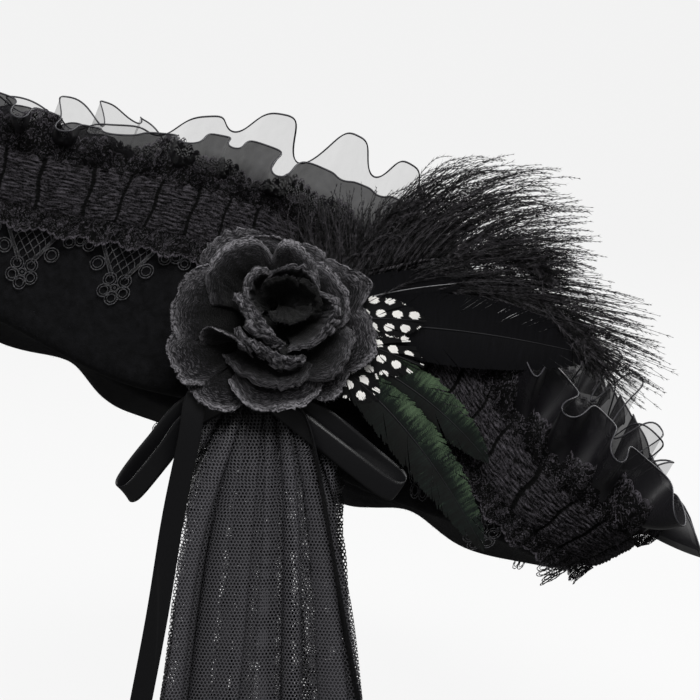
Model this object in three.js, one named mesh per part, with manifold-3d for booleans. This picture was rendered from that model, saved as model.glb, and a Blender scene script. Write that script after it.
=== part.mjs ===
// A tricorn hat of black wool felt, worn tipped back, with lace and sheer ruffles round its brim,
// a cloth rose, a spray of feathers, a satin bow and a tail of gathered tulle.
// Millimetres, +Z up, the front corner towards -Y and the wearer's left towards +X.
// The origin is the middle of the head opening.
import * as THREE from 'three';
import { mergeVertices } from 'three/addons/utils/BufferGeometryUtils.js';
import Module from 'manifold-3d';

const wasm = await Module();
wasm.setup();

const TURN = 2 * Math.PI;
const radians = THREE.MathUtils.degToRad;
const lerp = THREE.MathUtils.lerp;

// Driving sizes of the felt
const TILT = radians(27.5); // the hat is worn tipped back by this much
const FELT = 2.5; // thickness
const HEAD_LONG = 97; // half length of the head opening
const HEAD_WIDE = 83.5; // half width of the head opening
const CROWN_HEIGHT = 98;
const CROWN_SHAPE = 0.77; // power of the dome's arc, under 1 for fuller shoulders
const EDGE_REACH = 118; // from the axis to the middle of a side panel's edge
const EDGE_RADIUS = 213; // from the axis to a corner's edge
const EDGE_MID = 87; // height of the edge at the middle of a panel
const EDGE_REAR = 24; // height of the edge at the two rear corners
const EDGE_FRONT = 64; // height of the edge at the front corner
const EDGE_ARCH = 2.3; // power of the fall from mid panel to corner
const FOLD_REACH = 107; // from the axis to the middle of a side panel's fold
const FOLD_RADIUS = 180; // from the axis to a corner's fold
const FOLD_MID = -3; // height of the fold at the middle of a panel
const FOLD_CORNER = -6; // height of the fold at the corners
const FOLD_SAG = 7; // the fold hangs lower by this much between the two
const FOLD_ROUND = 9; // length of felt on each side that bends into the fold
const PANEL_POWER = 8; // how sharply the straight panels turn into the corners
const CORNER_ROUND = radians(5); // about half the angle that a corner's round tip takes up

// Driving sizes of the trimmings, measured down the brim's wall from its edge and out from the felt
const GAP = 0.75; // clear space between layers, which closes to about 0.3 where the wall twists
const BAND_TOP = 5;
const BAND_FOOT = 27.5;
const BAND_THICK = 2.2;
const LACE_TOP = 22;
const LACE_THICK = 1.1;
const BAND_OUT = FELT / 2 + GAP + LACE_THICK + GAP; // the lace edging lies behind the band
const LACE_MOTIFS = 26;
const LACE_OVERHANG = 8; // how far a motif may hang below the fold at a corner
const FRILL_FOOT = 38;
const FRILL_WAVES = 31;
const FRILL_DEPTH = 2.6;
const RUFFLE_WAVES = 28;
const RUFFLE_THICK = 1.2;
const ROSE_ANGLE = radians(59); // round the hat from the front corner towards the wearer's left
const ROSE_DROP = 49; // down the wall from the edge
const PRESSED_FROM = radians(58); // the spray presses the ruffle flat between these angles
const PRESSED_TO = radians(106);

// Driving sizes of the rose and its pad, measured out from the felt's middle
const PAD_RADIUS = 26;
const PAD_BACK = 8.4;
const PAD_FRONT = 10.2;
const POST_RADIUS = 12;
const POST_FRONT = 18.6;
const ROSE_BACK = 18.9;
const PETAL = 1.2; // thickness of a petal ring

// Driving sizes of the feathers
const VANE = 0.8; // thickness of a flat feather
const LAYER = 1.1; // from one flat feather to the next
const VANES_BACK = 13.1; // the flat feathers lie in front of the plumes
const VANES_LEAN = radians(4); // they spring away from the brim by this much

// Driving sizes of the tails
const TULLE_LENGTH = 170;
const TULLE_TOP = 54; // width where it is gathered
const TULLE_FOOT = 90;
const TULLE_THICK = 1.4;
const TULLE_PLEATS = 10;
const RIBBON_WIDE = 9.5;
const RIBBON_THICK = 1;

const FABRIC = (hex, roughness) => new THREE.MeshStandardMaterial({ color: hex, roughness, metalness: 0 });

// Closes a list of points and faces into a body whose faces point out.
function body(points, index) {
  let volume = 0;
  for (let i = 0; i < index.length; i += 3) {
    const [a, b, c] = [points[index[i]], points[index[i + 1]], points[index[i + 2]]];
    volume += a.dot(new THREE.Vector3().crossVectors(b, c));
  }
  const geometry = new THREE.BufferGeometry().setFromPoints(points);
  geometry.setIndex(volume > 0 ? index : index.reverse());
  return geometry;
}

// A body through like sections. Each twisted quad is split along its shorter diagonal, so that the two
// sides of a thin wall split alike. ends is 'ring' for a run that closes on itself, 'strip' for sections
// made of a front run of points and the same run back, or two points that the end sections meet.
function loft(sections, ends) {
  const count = sections.length;
  const size = sections[0].length;
  const points = sections.flat();
  const index = [];
  const spans = ends === 'ring' ? count : count - 1;
  for (let i = 0; i < spans; i += 1) {
    const here = i * size;
    const next = ((i + 1) % count) * size;
    for (let j = 0; j < size; j += 1) {
      const k = (j + 1) % size;
      const across = points[here + j].distanceTo(points[next + k]);
      if (across < points[here + k].distanceTo(points[next + j])) {
        index.push(here + j, here + k, next + k, here + j, next + k, next + j);
      } else {
        index.push(here + j, here + k, next + j, here + k, next + k, next + j);
      }
    }
  }
  const last = (count - 1) * size;
  if (ends === 'strip') {
    for (let j = 0; j < size / 2 - 1; j += 1) {
      const back = size - 1 - j;
      index.push(j, back - 1, j + 1, j, back, back - 1);
      index.push(last + j, last + j + 1, last + back - 1, last + j, last + back - 1, last + back);
    }
  }
  if (Array.isArray(ends)) {
    points.push(...ends);
    const first = points.length - 2;
    for (let j = 0; j < size; j += 1) {
      const k = (j + 1) % size;
      index.push(first, k, j, first + 1, last + j, last + k);
    }
  }
  return body(points, index);
}

// Boolean work on closed geometry
function solid(geometry) {
  const bare = geometry.clone();
  for (const name of Object.keys(bare.attributes)) {
    if (name !== 'position') bare.deleteAttribute(name);
  }
  const merged = mergeVertices(bare, 1e-4);
  return new wasm.Manifold(new wasm.Mesh({
    numProp: 3,
    vertProperties: new Float32Array(merged.attributes.position.array),
    triVerts: new Uint32Array(merged.index.array),
  }));
}

function geometryOf(manifold) {
  const mesh = manifold.getMesh();
  const geometry = new THREE.BufferGeometry();
  geometry.setAttribute('position', new THREE.BufferAttribute(mesh.vertProperties, 3));
  geometry.setIndex(new THREE.BufferAttribute(mesh.triVerts, 1));
  return geometry;
}

function fuse(geometries) {
  return geometryOf(geometries.map(solid).reduce((whole, piece) => whole.add(piece)));
}

// The brim, as lines round the hat. An angle runs from the front corner towards the wearer's left.

// The angle from the middle of the nearest side panel, eased so that the corners are round.
function panelAngle(angle) {
  const half = TURN / 6;
  const fromCorner = Math.abs(angle - 2 * half * Math.round(angle / (2 * half)));
  const ease = (turn) => Math.hypot(turn, CORNER_ROUND) - CORNER_ROUND;
  return half * (1 - ease(fromCorner) / ease(half));
}

function cornerShare(angle) {
  return Math.sin(1.5 * panelAngle(angle)) ** 2;
}

function isFront(angle) {
  return Math.cos(angle) > 0.5;
}

function outline(angle, reach, radius) {
  const panel = (Math.cos(panelAngle(angle)) / reach) ** PANEL_POWER;
  const corner = (1 / radius) ** PANEL_POWER;
  return (panel + corner) ** (-1 / PANEL_POWER);
}

function place(angle, radius, height) {
  return new THREE.Vector3(radius * Math.sin(angle), -radius * Math.cos(angle), height);
}

function brimEdge(angle) {
  const low = isFront(angle) ? EDGE_FRONT : EDGE_REAR;
  const height = lerp(EDGE_MID, low, cornerShare(angle) ** EDGE_ARCH);
  return place(angle, outline(angle, EDGE_REACH, EDGE_RADIUS), height);
}

function brimFold(angle) {
  const share = cornerShare(angle);
  const height = lerp(FOLD_MID, FOLD_CORNER, share) - FOLD_SAG * 4 * share * (1 - share);
  return place(angle, outline(angle, FOLD_REACH, FOLD_RADIUS), height);
}

// A point on the middle of the wall's felt, a distance down from the edge.
function onWall(angle, down) {
  const edge = brimEdge(angle);
  const along = brimFold(angle).sub(edge).normalize();
  return edge.addScaledVector(along, down);
}

function wallNormal(angle, down) {
  const step = 0.01;
  const level = Math.max(down, 0);
  const round = onWall(angle + step, level).sub(onWall(angle - step, level));
  return brimFold(angle).sub(brimEdge(angle)).cross(round).normalize();
}

// The same point moved out from the felt.
function wallPoint(angle, down, out) {
  return onWall(angle, down).addScaledVector(wallNormal(angle, down), out);
}

function wallLength(angle) {
  return brimFold(angle).distanceTo(brimEdge(angle));
}

// Angles that part the brim's edge into equal lengths.
function evenAngles(count) {
  const fine = 1440;
  const lengths = [0];
  for (let i = 1; i <= fine; i += 1) {
    const step = onWall((i * TURN) / fine, BAND_FOOT).distanceTo(onWall(((i - 1) * TURN) / fine, BAND_FOOT));
    lengths.push(lengths[i - 1] + step);
  }
  const angles = [];
  let at = 0;
  for (let i = 0; i < count; i += 1) {
    const target = (lengths[fine] * i) / count;
    while (lengths[at + 1] < target) at += 1;
    const share = (target - lengths[at]) / (lengths[at + 1] - lengths[at]);
    angles.push(((at + share) * TURN) / fine);
  }
  return angles;
}

// Angles that lie closer together round the corners, where the wall bends.
function cornerAngles(count, crowding = 0.24) {
  const angles = [];
  for (let i = 0; i < count; i += 1) {
    const even = (i * TURN) / count;
    angles.push(even - crowding * Math.sin(3 * even));
  }
  return angles;
}

// Felt: the crown's dome, the narrow brim round it and the wall turned up to the edge.
const CROWN_STEPS = [16, 34, 52, 70, 90].map(radians);
const FELT_STATIONS = 54;

function feltProfile(angle) {
  const head = 1 / Math.hypot(Math.sin(angle) / HEAD_WIDE, Math.cos(angle) / HEAD_LONG);
  const rows = CROWN_STEPS.map((step) => {
    const height = Math.max(Math.cos(step), 0) ** CROWN_SHAPE;
    return place(angle, head * Math.sin(step) ** CROWN_SHAPE, CROWN_HEIGHT * height);
  });
  const foot = rows[rows.length - 1];
  const fold = brimFold(angle);
  const edge = brimEdge(angle);
  const inner = fold.clone().lerp(foot, Math.min(0.45, FOLD_ROUND / fold.distanceTo(foot)));
  const outer = fold.clone().lerp(edge, FOLD_ROUND / fold.distanceTo(edge));
  const bend = new THREE.QuadraticBezierCurve3(inner, fold, outer);
  rows.push(...bend.getPoints(3));
  rows.push(outer.clone().lerp(edge, 0.35), outer.clone().lerp(edge, 0.7), edge);
  return rows;
}

function feltBody() {
  const profiles = cornerAngles(FELT_STATIONS).map(feltProfile);
  const rowCount = profiles[0].length;
  const apex = new THREE.Vector3(0, 0, CROWN_HEIGHT);
  const offsetRow = (row, out) => profiles.map((profile, i) => {
    const before = row > 0 ? profile[row - 1] : apex;
    const after = row < rowCount - 1 ? profile[row + 1] : profile[row];
    const arrive = profile[row].clone().sub(before).normalize();
    const leave = row < rowCount - 1 ? after.clone().sub(profile[row]).normalize() : arrive;
    const along = arrive.clone().add(leave).normalize();
    const next = profiles[(i + 1) % FELT_STATIONS][row];
    const previous = profiles[(i + FELT_STATIONS - 1) % FELT_STATIONS][row];
    const normal = along.cross(next.clone().sub(previous)).normalize();
    const miter = Math.sqrt(2 / (1 + arrive.dot(leave)));
    return profile[row].clone().addScaledVector(normal, out * miter);
  });
  const rows = profiles[0].map((unused, row) => row);
  const outside = rows.map((row) => offsetRow(row, FELT / 2));
  const inside = rows.map((row) => offsetRow(row, -FELT / 2)).reverse();
  const up = new THREE.Vector3(0, 0, FELT / 2);
  return loft([...outside, ...inside], [apex.clone().sub(up), apex.clone().add(up)]);
}

// Lace edging: one repeat hangs from narrow net at its ends to a broad flower in its middle, with an
// opening through the net above the flower.
const LACE_REPEAT = [34, 41, 63, 63, 41];
const LACE_FLOWER = 2; // the flower lies between this station of a repeat and the next
const LACE_WINDOW = { top: 42, foot: 52, wide: 5.4 };

function laceEdging() {
  const inner = FELT / 2 + GAP;
  const outer = inner + LACE_THICK;
  const stations = LACE_REPEAT.length;
  const angles = evenAngles(LACE_MOTIFS * stations);
  const hang = (angle, down) => Math.min(down, wallLength(angle) + LACE_OVERHANG + down - LACE_REPEAT[LACE_FLOWER]);
  const sections = angles.map((angle, i) => {
    const foot = Math.max(hang(angle, LACE_REPEAT[i % stations]), BAND_FOOT);
    return [
      wallPoint(angle, LACE_TOP, inner),
      wallPoint(angle, foot, inner),
      wallPoint(angle, foot, outer),
      wallPoint(angle, LACE_TOP, outer),
    ];
  });
  const sheet = solid(loft(sections, 'ring'));
  const windows = [];
  for (let i = LACE_FLOWER; i < angles.length; i += stations) {
    const angle = (angles[i] + angles[i + 1]) / 2;
    const turn = LACE_WINDOW.wide / 2 / Math.hypot(onWall(angle, BAND_FOOT).x, onWall(angle, BAND_FOOT).y);
    const top = hang(angle, LACE_WINDOW.top);
    const foot = hang(angle, LACE_WINDOW.foot);
    const middle = (top + foot) / 2;
    const rim = (out) => [[0, top], [turn, middle], [0, foot], [-turn, middle]].map(
      ([side, down]) => wallPoint(angle + side, down, out),
    );
    const centres = [inner - 1, outer + 1].map((out) => wallPoint(angle, middle, out));
    windows.push(solid(loft([rim(inner - 1), rim(outer + 1)], centres)));
  }
  return geometryOf(windows.reduce((whole, window) => whole.subtract(window), sheet));
}

// Ribbed band: flat behind and rounded in front.
const BAND_STATIONS = 63;

function ribbedBand() {
  const middle = (BAND_TOP + BAND_FOOT) / 2;
  const sections = cornerAngles(BAND_STATIONS).map((angle) => [
    wallPoint(angle, BAND_TOP, BAND_OUT),
    wallPoint(angle, BAND_FOOT, BAND_OUT),
    wallPoint(angle, BAND_FOOT - 1.5, BAND_OUT + BAND_THICK * 0.7),
    wallPoint(angle, middle, BAND_OUT + BAND_THICK),
    wallPoint(angle, BAND_TOP + 1.5, BAND_OUT + BAND_THICK * 0.7),
  ]);
  return loft(sections, 'ring');
}

// Lace frill: gathered along its top and waving at its foot.
function laceFrill() {
  const perWave = 3;
  const top = BAND_FOOT + GAP;
  const sections = cornerAngles(FRILL_WAVES * perWave).map((angle, i) => {
    const wave = FRILL_DEPTH * (0.5 - 0.5 * Math.cos((TURN * i) / perWave));
    const foot = Math.min(FRILL_FOOT, wallLength(angle) - 2);
    return [
      wallPoint(angle, top, BAND_OUT),
      wallPoint(angle, foot, BAND_OUT + wave),
      wallPoint(angle, foot, BAND_OUT + wave + LACE_THICK),
      wallPoint(angle, top, BAND_OUT + LACE_THICK),
    ];
  });
  return loft(sections, 'ring');
}

// Ruffles: a flat foot on the felt and a hem that waves away from it. They stand more upright than the
// brim's wall at the two rear corners.
const RUFFLE_UPRIGHT = 0.8;

function rearShare(angle) {
  return isFront(angle) ? 0 : cornerShare(angle);
}

function frontShare(angle) {
  return isFront(angle) ? cornerShare(angle) : 0;
}

function pressedShare(angle) {
  const rise = radians(8);
  const turned = ((angle % TURN) + TURN) % TURN;
  const into = THREE.MathUtils.smoothstep(turned, PRESSED_FROM - rise, PRESSED_FROM);
  const out = THREE.MathUtils.smoothstep(turned, PRESSED_TO, PRESSED_TO + rise);
  return into - out;
}

function abovePoint(angle, rise, out) {
  const edge = brimEdge(angle);
  const up = edge.clone().sub(brimFold(angle)).normalize();
  up.lerp(new THREE.Vector3(0, 0, 1), RUFFLE_UPRIGHT * rearShare(angle)).normalize();
  const normal = wallNormal(angle, 0);
  const away = normal.addScaledVector(up, -normal.dot(up)).normalize();
  return edge.addScaledVector(up, rise).addScaledVector(away, out);
}

function ruffle({ footDown, rise, frontRise, rearRise, depth, rearDepth, side, pressed }) {
  const perWave = 4;
  const footOut = FELT / 2 + GAP;
  const sections = cornerAngles(RUFFLE_WAVES * perWave, 0.12).map((angle, i) => {
    const rear = rearShare(angle);
    const flat = 1 - pressed * pressedShare(angle);
    const wave = (depth + rearDepth * rear) * flat * (0.5 - 0.5 * Math.cos((TURN * i) / perWave));
    const hem = rise + frontRise * frontShare(angle) + rearRise * rear;
    const near = footOut + 0.6 + wave;
    return [
      wallPoint(angle, footDown, side * footOut),
      abovePoint(angle, hem, side * near),
      abovePoint(angle, hem, side * (near + RUFFLE_THICK)),
      wallPoint(angle, footDown, side * (footOut + RUFFLE_THICK)),
    ];
  });
  return loft(sections, 'ring');
}

const FRONT_RUFFLE = {
  footDown: 0.6, rise: 23, frontRise: -6, rearRise: 11, depth: 11, rearDepth: 7, side: 1, pressed: 0.8,
};
const BACK_RUFFLE = {
  footDown: 7, rise: 29, frontRise: -7, rearRise: 4, depth: 11, rearDepth: 3, side: -1, pressed: 0,
};

// Spray pad: a round felt pad on the trimmings, with a post that the rose sits on.
function sprayPad() {
  const sides = 24;
  const ring = (radius, out) => {
    const points = [];
    for (let i = 0; i < sides; i += 1) {
      const angle = (i * TURN) / sides;
      points.push(new THREE.Vector3(radius * Math.cos(angle), radius * Math.sin(angle), out));
    }
    return points;
  };
  const rings = [
    ring(PAD_RADIUS, PAD_BACK), ring(PAD_RADIUS, PAD_FRONT), ring(POST_RADIUS, PAD_FRONT), ring(POST_RADIUS, POST_FRONT),
  ];
  return loft(rings, [new THREE.Vector3(0, 0, PAD_BACK), new THREE.Vector3(0, 0, POST_FRONT)]);
}

// Rose: nested cups, each a ring of petals grown together at its foot.
const ROSE_CUPS = {
  rose_outer_petals: { petals: 7, perPetal: 4, foot: 13, rim: 44, back: 0, height: 9, lobe: 0.17, wave: -2.4, turn: 0 },
  rose_middle_petals: { petals: 5, perPetal: 5, foot: 11, rim: 32, back: 1.6, height: 14, lobe: 0.18, wave: -2, turn: 0.4 },
  rose_inner_petals: { petals: 4, perPetal: 5, foot: 8, rim: 21, back: 3.2, height: 18, lobe: 0.2, wave: -1.6, turn: 0.9 },
  rose_bud: { petals: 3, perPetal: 4, foot: 5, rim: 10.5, back: 4.8, height: 18, lobe: 0.2, wave: -1.2, turn: 0.2 },
};

function petalCup({ petals, perPetal, foot, rim, back, height, lobe, wave, turn }) {
  const count = petals * perPetal;
  const ring = (share, lift) => {
    const points = [];
    for (let i = 0; i < count; i += 1) {
      const angle = (i * TURN) / count + turn;
      const petal = 1 - Math.abs(Math.cos((Math.PI * i) / perPetal)) ** 4;
      const radius = lerp(foot, rim * (1 - lobe + lobe * petal), share);
      const out = ROSE_BACK + back + lift + height * share ** 1.6 - wave * (2 * petal - 1) * share ** 2;
      points.push(new THREE.Vector3(radius * Math.cos(angle), radius * Math.sin(angle), out));
    }
    return points;
  };
  const rings = [ring(0, 0), ring(0.55, 0), ring(1, 0), ring(1, PETAL), ring(0.55, PETAL), ring(0, PETAL)];
  const base = ROSE_BACK + back;
  return loft(rings, [new THREE.Vector3(0, 0, base), new THREE.Vector3(0, 0, base + PETAL)]);
}

// Flat feathers: a pointed or round leaf along a bent quill, given by its root, bend and tip.
const FEATHERS = {
  black_feather_upper: { layer: 0, leaves: [{ root: [18, 3], bend: [40, 14], tip: [80, 17], wide: 17 }] },
  black_feather_lower: { layer: 1, leaves: [{ root: [18, -2], bend: [70, 3], tip: [136, -14], wide: 30 }] },
  green_feather_short: { layer: 2, leaves: [{ root: [18, -7], bend: [62, -22], tip: [90, -58], wide: 18 }] },
  green_feather_long: { layer: 3, leaves: [{ root: [17, -10], bend: [60, -38], tip: [88, -95], wide: 20 }] },
  spotted_feathers: {
    layer: 4,
    leaves: [
      { root: [20, 2], bend: [40, 3], tip: [64, 1], wide: 18 },
      { root: [19, -3], bend: [40, -8], tip: [63, -18], wide: 21 },
      { root: [17, -9], bend: [30, -18], tip: [44, -32], wide: 19 },
    ],
  },
};

function leafShape({ root, bend, tip, wide }) {
  const quill = new THREE.QuadraticBezierCurve(...[root, bend, tip].map((point) => new THREE.Vector2(...point)));
  const shares = [0.12, 0.28, 0.45, 0.62, 0.78, 0.91];
  const side = (sign) => shares.map((share) => {
    const run = quill.getTangent(share);
    const half = (wide / 2) * Math.sin(Math.PI * share ** 1.15) ** 0.65;
    return quill.getPoint(share).add(new THREE.Vector2(-run.y, run.x).multiplyScalar(sign * half));
  });
  return new THREE.Shape([quill.getPoint(0), ...side(-1), quill.getPoint(1), ...side(1).reverse()]);
}

function featherGeometry({ layer, leaves }) {
  const back = VANES_BACK + LAYER * layer;
  const plates = leaves.map((leaf) => new THREE.ExtrudeGeometry(leafShape(leaf), { depth: VANE, bevelEnabled: false }));
  const plate = plates.length > 1 ? fuse(plates) : geometryOf(solid(plates[0]));
  const hinge = PAD_RADIUS - 6;
  return plate.translate(-hinge, 0, 0).rotateY(-VANES_LEAN).translate(hinge, 0, back);
}

// Plumes and fluff: locks, thick in their middle, fused to a shaft or to a common root.
function lock(points, wide, thick) {
  const curve = new THREE.CatmullRomCurve3(points.map((point) => new THREE.Vector3(...point)));
  const steps = 3;
  const sections = [];
  for (let i = 0; i <= steps; i += 1) {
    const share = i / steps;
    const run = curve.getTangent(share);
    const across = new THREE.Vector3(-run.y, run.x, 0).normalize();
    const full = 0.25 + 0.75 * Math.sin(Math.PI * (0.1 + 0.8 * share));
    const centre = curve.getPoint(share);
    const at = (x, z) => centre.clone().addScaledVector(across, x * wide * full).add(new THREE.Vector3(0, 0, z * thick * full));
    sections.push([at(-0.5, 0), at(0, 0.5), at(0.5, 0), at(0, -0.5)]);
  }
  return loft(sections, [curve.getPoint(0), curve.getPoint(1)]);
}

const PLUMES = {
  plume_upper: {
    shaft: [[15, 6, 11.6], [50, 14, 11.6], [86, 22, 13.5], [108, 26, 17], [126, 30, 21]],
    lock: { wide: 15, thick: 5 },
    tips: [[66, 50, 14], [77, 66, 16], [94, 70, 18], [113, 69, 20], [127, 58, 23], [134, 40, 24], [133, 22, 24]],
  },
  plume_lower: {
    shaft: [[15, 0, 11.6], [60, 4, 12], [100, 9, 15], [128, 4, 18], [150, -12, 21]],
    lock: { wide: 13, thick: 5 },
    tips: [[140, 17, 17], [154, 11, 20], [162, -4, 22], [161, -19, 23], [149, -31, 23]],
  },
};

function plume({ shaft, lock: size, tips }) {
  const quill = new THREE.CatmullRomCurve3(shaft.map((point) => new THREE.Vector3(...point)));
  const pieces = [lock(shaft, 3.4, 2.2)];
  tips.forEach((tip, i) => {
    const start = quill.getPoint(lerp(0.42, 0.96, i / (tips.length - 1)));
    const end = new THREE.Vector3(...tip);
    const rise = start.clone().lerp(end, 0.5).add(new THREE.Vector3(-0.12, 0.12, 0).multiplyScalar(start.distanceTo(end)));
    pieces.push(lock([start.toArray(), rise.toArray(), end.toArray()], size.wide, size.thick));
  });
  return fuse(pieces);
}

const FLUFF = {
  root: [12, 15, 11.5],
  tips: [[10, 45, 11.6], [20, 50, 11.6], [31, 51, 11.6], [42, 48, 11.6], [51, 40, 11.6], [57, 30, 11.6]],
  wide: 10,
  thick: 2,
};

function marabou() {
  return fuse(FLUFF.tips.map((tip) => {
    const middle = new THREE.Vector3(...FLUFF.root).lerp(new THREE.Vector3(...tip), 0.5).add(new THREE.Vector3(-1, 1.5, 0));
    return lock([FLUFF.root, middle.toArray(), tip], FLUFF.wide, FLUFF.thick);
  }));
}

// Tulle tail: pleats that open from the gathered head to the foot.
const TULLE_HEAD = [-3, -25.1, 12]; // middle of its top edge, from the rose's place on the felt
const TULLE_ROWS = [0, 0.12, 0.4, 0.7, 1];

function tulleTail() {
  const across = TULLE_PLEATS * 2;
  const sections = TULLE_ROWS.map((share) => {
    const width = lerp(TULLE_TOP, TULLE_FOOT, share ** 0.8);
    const depth = lerp(1.2, 5, Math.min(1, share * 2.5));
    const clear = 3.5 * Math.min(1, share * 8);
    const front = [];
    for (let i = 0; i <= across; i += 1) {
      const x = TULLE_HEAD[0] + width * (i / across - 0.5) - 5 * share;
      const out = TULLE_HEAD[2] + clear + depth * (i % 2 ? 0.5 : -0.5);
      front.push(new THREE.Vector3(x, TULLE_HEAD[1] - TULLE_LENGTH * share, out + TULLE_THICK / 2));
    }
    const back = front.map((point) => point.clone().setZ(point.z - TULLE_THICK)).reverse();
    return [...front, ...back];
  });
  return loft(sections, 'strip');
}

// Ribbon bow: a knot, a loop to each side and two tails, all of one satin ribbon.
const BOW_KNOT = { at: [-4, -31, 18.2], size: [14, 9, 5.6] };
const BOW_STRIPS = [
  {
    across: [[0.3, 1, 0], [1, 0, 0]],
    path: [[-4, -31, 18.5], [-20, -31, 20], [-31, -37, 21], [-36, -56, 21.5], [-42, -86, 21], [-56, -150, 20.5], [-66, -196, 20.5]],
  },
  {
    across: [[-0.3, 1, 0], [0.6, 0.1, 0.8]],
    path: [[-4, -31, 18.5], [6, -32, 21], [13, -40, 23.5], [17, -56, 24], [21, -86, 24], [34, -150, 24], [41, -182, 24]],
  },
  {
    across: [[-0.2, 1, 0], [-0.5, 0.5, 0.7]],
    path: [[-6, -30, 18.5], [-30, -33, 23], [-50, -47, 25], [-62, -62, 25], [-54, -68, 23.5], [-37, -50, 23.5], [-7, -31, 19.2]],
  },
  {
    across: [[0.2, 1, 0], [0.6, 0.7, 0.4]],
    path: [[-2, -30, 18.5], [20, -38, 24], [42, -57, 25], [52, -64, 24], [47, -70, 23], [29, -55, 23], [-1, -31, 19]],
  },
];

function strip({ across, path }) {
  const curve = new THREE.CatmullRomCurve3(path.map((point) => new THREE.Vector3(...point)));
  const [from, to] = across.map((vector) => new THREE.Vector3(...vector));
  const steps = path.length + 2;
  const sections = [];
  for (let i = 0; i <= steps; i += 1) {
    const share = i / steps;
    const run = curve.getTangent(share);
    const wide = from.clone().lerp(to, Math.min(1, share * 3)).normalize();
    const out = wide.clone().cross(run).normalize().multiplyScalar(RIBBON_THICK / 2);
    const centre = curve.getPoint(share);
    const left = centre.clone().addScaledVector(wide, -RIBBON_WIDE / 2);
    const right = centre.clone().addScaledVector(wide, RIBBON_WIDE / 2);
    sections.push([left.clone().add(out), right.clone().add(out), right.clone().sub(out), left.clone().sub(out)]);
  }
  return loft(sections, 'strip');
}

function ribbonBow() {
  const knot = new THREE.BoxGeometry(...BOW_KNOT.size).translate(...BOW_KNOT.at);
  return fuse([knot, ...BOW_STRIPS.map(strip)]);
}

// The pieces round the brim follow the tipped hat; the spray stands on the brim's left panel; the
// tails hang plumb from there.
function piece(name, geometry, material) {
  const mesh = new THREE.Mesh(geometry, material);
  mesh.name = name;
  return mesh;
}

const worn = new THREE.Group();
worn.rotation.x = -TILT;
worn.add(
  piece('felt_body', feltBody(), FABRIC(0x0b0b0d, 0.95)),
  piece('lace_edging', laceEdging(), FABRIC(0x141417, 0.7)),
  piece('ribbed_band', ribbedBand(), FABRIC(0x101013, 0.8)),
  piece('lace_frill', laceFrill(), FABRIC(0x111114, 0.85)),
  piece('front_ruffle', ruffle(FRONT_RUFFLE), FABRIC(0x1b1b20, 0.6)),
  piece('back_ruffle', ruffle(BACK_RUFFLE), FABRIC(0x24242a, 0.6)),
);

const xAxis = new THREE.Vector3(1, 0, 0);
const plumb = new THREE.Vector3(0, 0, 1);
const roseSpot = onWall(ROSE_ANGLE, ROSE_DROP).applyAxisAngle(xAxis, -TILT);
const roseOut = wallNormal(ROSE_ANGLE, ROSE_DROP).applyAxisAngle(xAxis, -TILT);
const level = plumb.clone().cross(roseOut).normalize();

function groupAt(up, out) {
  const group = new THREE.Group();
  group.position.copy(roseSpot);
  group.quaternion.setFromRotationMatrix(new THREE.Matrix4().makeBasis(level, up, out));
  return group;
}

const spray = groupAt(roseOut.clone().cross(level), roseOut);
spray.add(piece('spray_pad', sprayPad(), FABRIC(0x0d0d0f, 0.95)));
for (const [name, cup] of Object.entries(ROSE_CUPS)) spray.add(piece(name, petalCup(cup), FABRIC(0x1c1c1f, 0.8)));
const VANE_COLOURS = {
  black_feather_upper: 0x0c0c0f, black_feather_lower: 0x0a0a0d, green_feather_short: 0x0c1c16,
  green_feather_long: 0x0a1a15, spotted_feathers: 0x17171a,
};
for (const [name, feather] of Object.entries(FEATHERS)) {
  spray.add(piece(name, featherGeometry(feather), FABRIC(VANE_COLOURS[name], 0.5)));
}
for (const [name, feather] of Object.entries(PLUMES)) spray.add(piece(name, plume(feather), FABRIC(0x0d0d10, 0.85)));
spray.add(piece('marabou', marabou(), FABRIC(0x0e0e11, 0.9)));

const tails = groupAt(plumb, level.clone().cross(plumb));
tails.add(
  piece('tulle_tail', tulleTail(), FABRIC(0x17171a, 0.8)),
  piece('ribbon_bow', ribbonBow(), FABRIC(0x0e0e12, 0.35)),
);

const hat = new THREE.Group();
hat.add(worn, spray, tails);

export default hat;
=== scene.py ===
"""A black tricorn hat of wool felt with lace and organza ruffles, a cloth rose, feathers, a bow and tulle.

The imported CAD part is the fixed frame. Shapes are worked out in millimetres: those round the brim in
the frame of the upright hat, which is then tipped back as it is worn, those of the spray in a frame on
the brim's left panel, and those that hang in a plumb frame at the same place.
"""

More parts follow.
